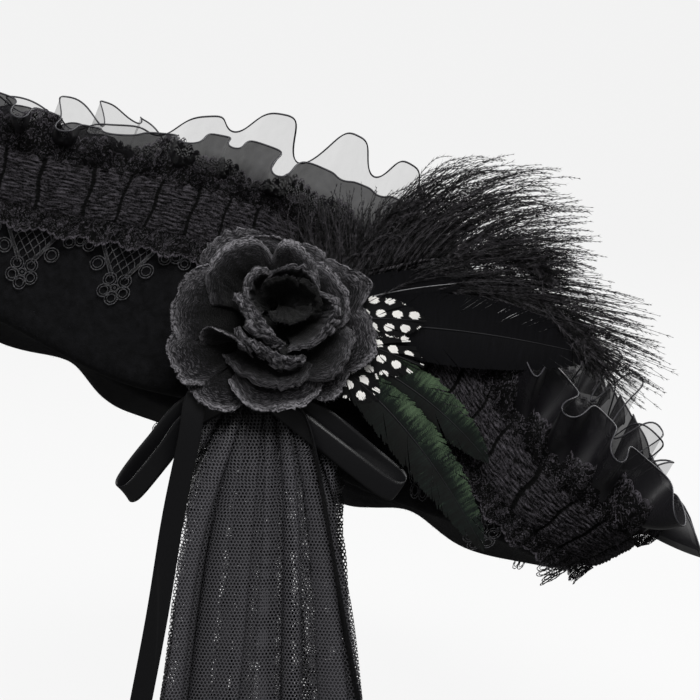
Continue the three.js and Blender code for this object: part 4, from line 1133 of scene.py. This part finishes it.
def plume(starts, ends, rising, seed, droop, barbule, thick):
    """Barbs on quadratic runs from the shaft to the plume's outline, which rise first, sweep over and droop
    at their tips, each with two rows of barbules that get shorter towards its ends."""
    rng = np.random.default_rng(seed)
    count = len(starts)
    t = np.linspace(0, 1, BARB_POINTS)[None, :, None]
    span = np.linalg.norm(ends - starts, axis=-1, keepdims=True)
    corner = lerp(starts, ends, np.array([0.42, rising, 0.5]))
    corner = corner + rng.normal(0, 1, (count, 3)) * [2.4, 2.4, 1.6]
    paths = quadratic(starts[:, None], corner[:, None], ends[:, None], t)
    curl = rng.normal(0, 1, (count, 1, 3)) * 1.4
    curl = curl * np.sin(t * 6 + rng.uniform(0, TURN, (count, 1, 1))) * t
    paths = paths + curl + np.array([0.35, -1, 0]) * droop * span[:, None] * t ** 4
    outward = np.broadcast_to([0, 0, 1.0], paths.shape) + rng.normal(0, 0.2, (count, 1, 3))
    radius = thick * (1 - 0.6 * t[..., 0]) * np.ones((count, 1))
    barbs = round_cords(paths, outward, radius, 3)
    pick = np.linspace(0.05, 0.99, BARBULES)[None] + rng.normal(0, 0.012, (count, BARBULES))
    pick = np.clip(pick, 0, 0.999) * (BARB_POINTS - 1)
    low = pick.astype(int)
    number = np.arange(count)[:, None]
    base = lerp(paths[number, low], paths[number, low + 1], (pick - low)[..., None])
    run = unit(paths[number, low + 1] - paths[number, low])
    hairs = []
    for side in (-1, 1):
        across = unit(np.cross(run, outward[number, low]) * side + rng.normal(0, 0.4, run.shape))
        way = unit(2.2 * run + across)
        taper = 1 - 0.6 * (pick / BARB_POINTS)[..., None] ** 3
        size = barbule * rng.uniform(0.5, 1.3, (count, BARBULES, 1)) * taper
        flat = unit(np.cross(way, rng.normal(size=way.shape))) * 0.15
        hairs.append(np.stack([base - flat, base + flat, base + way * size], 2))
    hairs = np.concatenate(hairs).reshape(-1, 3)
    hairs_of = np.tile(np.repeat(np.arange(count), BARBULES * 3), 2)
    barb_of = np.concatenate([np.repeat(np.arange(count), BARB_POINTS * 3), hairs_of])
    uv = vec(barb_of + 0.5, 0 * barb_of)
    return joined([barbs, (hairs, [np.arange(len(hairs)).reshape(-1, 3)])]), uv


# Ostrich barbs: dyed black, dry and matt; each barb is painted its own random warm grey, as a painted
# highlight.
plume_down, tree = new_material("dyed_ostrich_plume", Roughness=0.75, Specular_IOR_Level=0.2)
map_uv = node(tree, "UVMap", uv_map="pattern")
painted_barb_highlight = node(tree, "TexWhiteNoise", {"Vector": map_uv}, noise_dimensions="2D")
coords = node(tree, "TexCoord").outputs["Object"]
tufts = node(tree, "TexNoise", {"Vector": coords, "Scale": 420.0, "Detail": 4.0})
mixed = node(tree, "Math", {0: painted_barb_highlight, 1: 0.5, 2: tufts}, operation="MULTIPLY_ADD")
node(tree, "ValToRGB", {"Fac": mixed}, [(0.6, "020202"), (1.0, "383639")], "Base Color")

for name, sizes in PLUMES.items():
    rng = np.random.default_rng(sizes["seed"])
    order = np.sort(rng.random(PLUME_BARBS))
    along_shaft = sizes["lag"] * order + (1 - sizes["lag"]) * order ** 4
    starts = smooth_path(sizes["shaft"], lerp(0.14, 0.98, along_shaft))
    starts = starts + rng.normal(0, 1, (PLUME_BARBS, 3)) * [2.5, 2.0, 0.8]
    ends = smooth_path(sizes["tips"], order) + rng.normal(0, 1, (PLUME_BARBS, 3)) * [3.4, 3.4, 2.0]
    ends = lerp(starts, ends, rng.beta(3.0, 1.0, (PLUME_BARBS, 1)))
    barbs = plume(starts, ends, sizes["rising"], sizes["seed"], 0.07, 3.1, 0.23)
    shaft_path = smooth_path(sizes["shaft"], np.linspace(0, 1, 40))[None]
    shaft_up = np.broadcast_to(PLUMB, shaft_path.shape)
    shaft = round_cords(shaft_path, shaft_up, np.linspace(1.0, 0.3, 40)[None], 8)
    whole = joined([barbs[0], shaft])
    uv = np.concatenate([barbs[1], np.zeros((len(shaft[0]), 2))])
    piece = new_piece(name + "_barbs", sprayed(whole[0]), whole[1], plume_down, uv=uv)
    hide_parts(name)

FLUFF_TIPS = [(0, 44, 12.5), (14, 52, 13), (27, 55, 13), (41, 56, 12.5), (54, 50, 12), (62, 38, 11.6)]
FLUFF_STRANDS = 300
rng = np.random.default_rng(8)
order = np.sort(rng.random(FLUFF_STRANDS))
fluff_ends = smooth_path(FLUFF_TIPS, order) + rng.normal(0, 1, (FLUFF_STRANDS, 3)) * [3.0, 3.6, 0.8]
fluff_foot = np.stack([12 + 40 * order, 13 + 6 * order, 11.8 + 0 * order], -1)
fluff_starts = fluff_foot + rng.normal(0, 1, (FLUFF_STRANDS, 3)) * [4, 4, 0.5]
fluff_ends = lerp(fluff_starts, fluff_ends, rng.beta(3, 1.2, (FLUFF_STRANDS, 1)))
fluff = plume(fluff_starts, fluff_ends, 0.6, 9, 0.0, 1.8, 0.2)
down = new_piece("marabou_down", sprayed(fluff[0][0]), fluff[0][1], plume_down, uv=fluff[1])
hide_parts("marabou")

# Tulle tail
# A length of hexagonal net, folded lengthwise to and fro into six layers, gathered under the rose and
# left to hang in soft pleats that fan out below it. Its foot is cut straight across.
TULLE_LENGTH, TULLE_TOP, TULLE_FOOT = 170, 46, 90
TULLE_HEAD = np.array([-3, -25.1, 12])
TULLE_COLUMNS, TULLE_ROWS = 104, 42
TULLE_CELL, NET_GAP = 1.6, 0.355
TULLE_TURNS = [0.0, 1.0, 0.01, 0.98, 0.03, 0.99, 0.02]
PLEATS = [4.2, 5.6, 3.4, 4.8, 3.2, 4.4]


def tulle_layer(start, end, pleats, seed, back):
    """A sheet from one fold to the next. Its pleats swing in and out, drift sideways as they fall and
    crowd together here and there; they are tight at the gathers and soft at the foot."""
    rng = np.random.default_rng(seed)
    share = np.linspace(0, 1, TULLE_ROWS)[:, None]
    s = lerp(start, end, np.linspace(0, 1, TULLE_COLUMNS))[None]
    width = lerp(TULLE_TOP, TULLE_FOOT, share ** 0.7)
    fanned = (s - 0.5) * (1 + 1.3 * np.exp(-share / 0.14))
    phase = TURN * pleats * fanned + 1.2 * np.sin(TURN * s + rng.uniform(0, TURN)) + rng.uniform(0, TURN)
    phase = phase + 0.8 * np.sin(2.2 * share + TURN * 0.8 * s + rng.uniform(0, TURN))
    small = np.sin(2.7 * phase + rng.uniform(0, TURN) + 1.5 * share)
    opened = np.minimum(1, 0.25 + share * 4)
    fold = width / pleats * (0.16 * np.sin(2 * phase) + 0.07 * small)
    swing = (3.8 * np.cos(phase) + 0.7 * small) * opened
    x = TULLE_HEAD[0] + width * (s - 0.5) + fold - 5 * share + 2 * np.sin(2.5 * share + 5 * s) * share
    y = TULLE_HEAD[1] - TULLE_LENGTH * share + 0 * s
    z = TULLE_HEAD[2] + 4.2 * np.minimum(1, share * 8) + swing - back
    return vec(x, y, z)


layers = [
    tulle_layer(start, end, pleats, 3 + i, 3.0 - 1.1 * i)
    for i, (start, end, pleats) in enumerate(zip(TULLE_TURNS, TULLE_TURNS[1:], PLEATS))
]
tulle_grid = np.concatenate(layers, 1)
round_steps = np.linalg.norm(np.diff(tulle_grid, axis=1), axis=-1)
lengths = np.concatenate([np.zeros((TULLE_ROWS, 1)), np.cumsum(round_steps, 1)], 1)
flat_width = lengths[-12:, -1].mean()
tulle_down = np.linspace(TULLE_LENGTH, 0, TULLE_ROWS)[:, None] + 10
tulle_uv = vec(lengths / lengths[:, -1:] * flat_width, tulle_down)

# Nylon bobbinet: fine threads round open hexagons of about a millimetre and a half, drawn thicker than they
# are, so that they show.
# What lies in front is painted paler as painted light, and what is behind it is painted dark as painted
# shade.
FORWARDS = np.cross(level, PLUMB)
NET_BACK = (rose_spot @ FORWARDS + 14.5) * MM
tulle_net, tree = new_material("nylon_tulle_net", Roughness=0.5, Specular_IOR_Level=0.35)
map_uv = node(tree, "UVMap", uv_map="pattern")
coords = node(tree, "TexCoord").outputs["Object"]
depth = node(tree, "VectorMath", {0: coords, 1: tuple(FORWARDS)}, operation="DOT_PRODUCT")
painted_front_light = {"Value": depth, "From Min": NET_BACK + 0.0025, "From Max": NET_BACK + 0.0095}
painted_front_light = node(tree, "MapRange", painted_front_light)
shades = {0: painted_front_light, 6: linear("070708"), 7: linear("4e4d51")}
node(tree, "Mix", shades, into="Base Color", data_type="RGBA")
HEX = (1.0, 3 ** 0.5, 1.0)
HALF_HEX = (0.5, 3 ** 0.5 / 2, 0.0)
per_cell = (1 / TULLE_CELL, 1 / TULLE_CELL, 0.0)
scaled = node(tree, "VectorMath", {0: map_uv, 1: per_cell}, operation="MULTIPLY")
moved = node(tree, "VectorMath", {0: scaled, 1: HALF_HEX}, operation="ADD")
near_centres = []
for lattice in (scaled, moved):
    wrapped = node(tree, "VectorMath", {0: lattice, 1: HEX}, operation="MODULO")
    near_centres.append(node(tree, "VectorMath", {0: wrapped, 1: HALF_HEX}, operation="SUBTRACT"))
sizes = [node(tree, "VectorMath", {0: each}, operation="LENGTH") for each in near_centres]
closer = node(tree, "Math", {0: sizes[0], 1: sizes[1]}, operation="LESS_THAN")
nearest = node(tree, "Mix", {0: closer, 4: near_centres[1], 5: near_centres[0]}, data_type="VECTOR")
positive = node(tree, "VectorMath", {0: nearest}, operation="ABSOLUTE")
flat_side = node(tree, "VectorMath", {0: positive, 1: (1.0, 0.0, 0.0)}, operation="DOT_PRODUCT")
slant_side = node(tree, "VectorMath", {0: positive, 1: (0.5, 3 ** 0.5 / 2, 0.0)}, operation="DOT_PRODUCT")
to_side = node(tree, "Math", {0: flat_side, 1: slant_side}, operation="MAXIMUM")
node(tree, "Math", {0: to_side, 1: NET_GAP}, into="Alpha", operation="GREATER_THAN")
tulle_faces = grid_faces(*tulle_grid.shape[:2])
tulle = new_piece("tulle_net", hung(tulle_grid), tulle_faces, tulle_net, uv=tulle_uv)
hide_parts("tulle_tail")

# Ribbon bow
# One length of black double-faced satin ribbon, tied under the rose with a loop to each side and two
# long tails that hang over the tulle.
RIBBON_WIDE, RIBBON_THICK = 9.5, 0.5
RIBBON_STEPS, RIBBON_ACROSS = 90, 7
RIBBONS = {
    "ribbon_tail_left": dict(
        across=[(0.6, 0.8, 0), (1, 0, 0)],
        path=[
            (-4, -27, 18.5), (-20, -22, 20), (-31, -26, 23.5), (-35, -46, 26),
            (-42, -79, 24.5), (-50, -126, 22.5), (-64, -196, 20.5),
        ],
    ),
    "ribbon_tail_right": dict(
        across=[(-0.3, 1, 0), (0.3, 0.1, 1)],
        path=[
            (-4, -29, 18.5), (6, -29, 20), (13, -37, 22.5), (18, -56, 24),
            (23, -86, 24), (34, -150, 24), (41, -182, 24),
        ],
    ),
    "ribbon_loop_left": dict(
        across=[(-0.2, 1, 0), (-0.55, 0.8, 0.4)],
        path=[
            (-6, -25, 18.5), (-34, -32, 18.5), (-51, -50, 19), (-63, -66, 22),
            (-59, -68, 25), (-46, -53, 23), (-34, -38, 21.5), (-8, -25, 19.5),
        ],
    ),
    "ribbon_loop_right": dict(
        across=[(0.2, 1, 0), (0.55, 0.8, 0)],
        path=[
            (-2, -28, 18.5), (20, -37, 20), (41, -54, 20.5), (53, -64, 23.5),
            (49, -67, 26), (30, -53, 25.5), (0, -30, 19.5),
        ],
    ),
}


def ribbon(across, path):
    """A flat strip along a smooth path, its width turning from the first way across to the last."""
    share = np.linspace(0, 1, RIBBON_STEPS)
    centre = catmull(path, share)
    run = unit(np.gradient(centre, axis=0))
    first, last = np.asarray(across, float)
    wide = unit(lerp(first, last, np.minimum(1, share * 3)[:, None]))
    face = unit(np.cross(wide, run))
    offset = np.linspace(-0.5, 0.5, RIBBON_ACROSS)[None, :, None]
    curl = (1 - 4 * offset ** 2) * 0.35
    top = centre[:, None] + wide[:, None] * offset * RIBBON_WIDE + face[:, None] * (curl + RIBBON_THICK / 2)
    low = centre[:, None] + wide[:, None] * offset * RIBBON_WIDE + face[:, None] * (curl - RIBBON_THICK / 2)
    section = np.concatenate([top, low[:, ::-1]], 1)
    distance = np.concatenate([[0], np.cumsum(np.linalg.norm(np.diff(centre, axis=0), axis=-1))])
    uv_across = np.concatenate([offset[0, :, 0], offset[0, ::-1, 0]]) * RIBBON_WIDE + 5
    uv = vec(distance[:, None], uv_across[None])
    return section, uv, distance[-1]


# Polyester satin: long floats along the ribbon give soft streaks of light, and a firm woven edge.
satin, tree = new_material(
    "double_faced_satin", Roughness=0.36, Specular_IOR_Level=0.25, Anisotropic=0.5, Sheen_Weight=0.02,
)
map_uv = node(tree, "UVMap", uv_map="pattern")
floats = node(tree, "Mapping", {"Vector": map_uv, "Scale": (0.5, 6.0, 1.0)})
threads = node(tree, "TexNoise", {"Vector": floats, "Scale": 1.0, "Detail": 4.0, "Roughness": 0.7})
node(tree, "ValToRGB", {"Fac": threads}, [(0.3, "040405"), (0.75, "101012")], "Base Color")
node(tree, "Bump", {"Height": threads, "Strength": 0.25, "Distance": 0.0002}, into="Normal")

for name, sizes in RIBBONS.items():
    section, uv, length = ribbon(**sizes)
    size = section.shape[1]
    ends = [np.arange(size)[None, ::-1], (len(section) - 1) * size + np.arange(size)[None]]
    faces = [grid_faces(len(section), size, closed=True), *ends]
    piece = new_piece(name, hung(section), faces, satin, uv=uv)


def blunt(wave):
    """A sine or cosine wave with broader crests: its size to the power 0.6, with its own sign."""
    return np.sign(wave) * np.abs(wave) ** 0.6


KNOT_AT, KNOT_SIZE = np.array([-4, -31, 18.2]), np.array([14, 9, 5.6])
u = np.linspace(0, TURN, 49)
v = np.linspace(-np.pi / 2, np.pi / 2, 25)[:, None]
pinch = 1 - 0.1 * np.cos(6 * u) ** 2 * np.cos(v)
girth = np.cos(v) ** 0.5 * pinch
knot = vec(blunt(np.cos(u)) * girth, np.sin(v) * (1 + 0.05 * np.sin(5 * u)), blunt(np.sin(u)) * girth)
knot = KNOT_AT + knot * KNOT_SIZE / 2
knot_uv = vec(np.broadcast_to(u * 3, knot.shape[:2]), v * 4 + 10)
knot_faces = grid_faces(*knot.shape[:2])[:, ::-1]
knot_piece = new_piece("ribbon_knot", hung(knot), knot_faces, satin, uv=knot_uv, weld=True)
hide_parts("ribbon_bow")

# Studio
# A pale paper sweep that glows evenly behind and below the hat and throws no light on it. One broad
# softbox above the camera models the folds, and two narrow ones behind draw the hat's edges.
FLOOR_DOWN, SWEEP_FLAT, SWEEP_REACH, SWEEP_HEIGHT = -0.17, 2.4, 4.6, 3.4
SWEEP_SIDES = 96
white_paper, tree = new_material(
    "white_paper_sweep", Roughness=0.9, Specular_IOR_Level=0.0, Base_Color=linear("404040"),
    Emission_Color=linear("ffffff"), Emission_Strength=0.87,
)
rise = np.linspace(0, np.pi / 2, 25)
profile_out = np.concatenate([[0.0001, 1.2], SWEEP_FLAT + (SWEEP_REACH - SWEEP_FLAT) * np.sin(rise)])
profile_up = np.concatenate([[0, 0], SWEEP_HEIGHT * (1 - np.cos(rise))]) + FLOOR_DOWN
turn = np.arange(SWEEP_SIDES) / SWEEP_SIDES * TURN
sweep_out = profile_out[:, None]
sweep_grid = vec(sweep_out * np.cos(turn), sweep_out * np.sin(turn), profile_up[:, None])
sweep_faces = grid_faces(len(sweep_grid), SWEEP_SIDES, closed=True)
sweep_mesh = bpy.data.meshes.new("paper_sweep")
sweep_mesh.from_pydata(sweep_grid.reshape(-1, 3).tolist(), [], sweep_faces.tolist())
sweep_mesh.polygons.foreach_set("use_smooth", np.ones(len(sweep_mesh.polygons), bool))
sweep_mesh.materials.append(white_paper)
sweep = bpy.data.objects.new("paper_sweep", sweep_mesh)
bpy.context.scene.collection.objects.link(sweep)
sweep.visible_diffuse = False
sweep.visible_glossy = False
sweep.visible_shadow = False
sweep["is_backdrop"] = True

world = bpy.data.worlds.new("dim_studio")
world.use_nodes = True
world.node_tree.nodes["Background"].inputs["Color"].default_value = linear("ffffff")
world.node_tree.nodes["Background"].inputs["Strength"].default_value = 0.22
bpy.context.scene.world = world
bpy.context.scene.view_settings.view_transform = "Standard"

VIEW_TURN = np.radians(60)
TOWARDS = np.array([np.sin(VIEW_TURN), -np.cos(VIEW_TURN), 0])
BESIDE = np.array([np.cos(VIEW_TURN), np.sin(VIEW_TURN), 0])


def softbox(name, beside, towards, up, size, power):
    """A square area light of that size in metres and that power in watts, aimed at the hat. Its place
    is given in metres to the right of the camera's view, towards the camera and up."""
    light = bpy.data.lights.new(name, "AREA")
    light.size = size
    light.energy = power
    lamp = bpy.data.objects.new(name, light)
    bpy.context.scene.collection.objects.link(lamp)
    lamp.location = Vector(BESIDE * beside + TOWARDS * towards + PLUMB * up)
    lamp.rotation_mode = "QUATERNION"
    lamp.rotation_quaternion = lamp.location.to_track_quat("Z", "Y")


softbox("key_softbox", 0.25, 1.3, 1.5, 0.9, 50)
softbox("left_rim_softbox", -1.5, -0.5, 0.7, 0.8, 20)
softbox("right_rim_softbox", 1.3, -0.9, 0.9, 0.8, 30)

CAMERA_REACH, CAMERA_SIDE, CAMERA_UP, CAMERA_RISE = 1.3, 0.0514, 0.0498, np.radians(8.5)
NEAR_PANEL, VIEW_WIDE, SENSOR_WIDE = 0.105, 0.322, 36
camera_data = bpy.data.cameras.new("photo_camera")
camera_data.sensor_width = SENSOR_WIDE
camera_data.lens = SENSOR_WIDE * CAMERA_REACH / VIEW_WIDE
camera_data.clip_start, camera_data.clip_end = 0.01, 100
camera = bpy.data.objects.new("photo_camera", camera_data)
bpy.context.scene.collection.objects.link(camera)
aim_at = TOWARDS * NEAR_PANEL + BESIDE * CAMERA_SIDE + PLUMB * CAMERA_UP
sight = TOWARDS * np.cos(CAMERA_RISE) + PLUMB * np.sin(CAMERA_RISE)
camera.location = Vector(aim_at + sight * (CAMERA_REACH - NEAR_PANEL))
camera.rotation_mode = "QUATERNION"
camera.rotation_quaternion = Vector(-sight).to_track_quat("-Z", "Y")
bpy.context.scene.camera = camera

low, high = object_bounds()
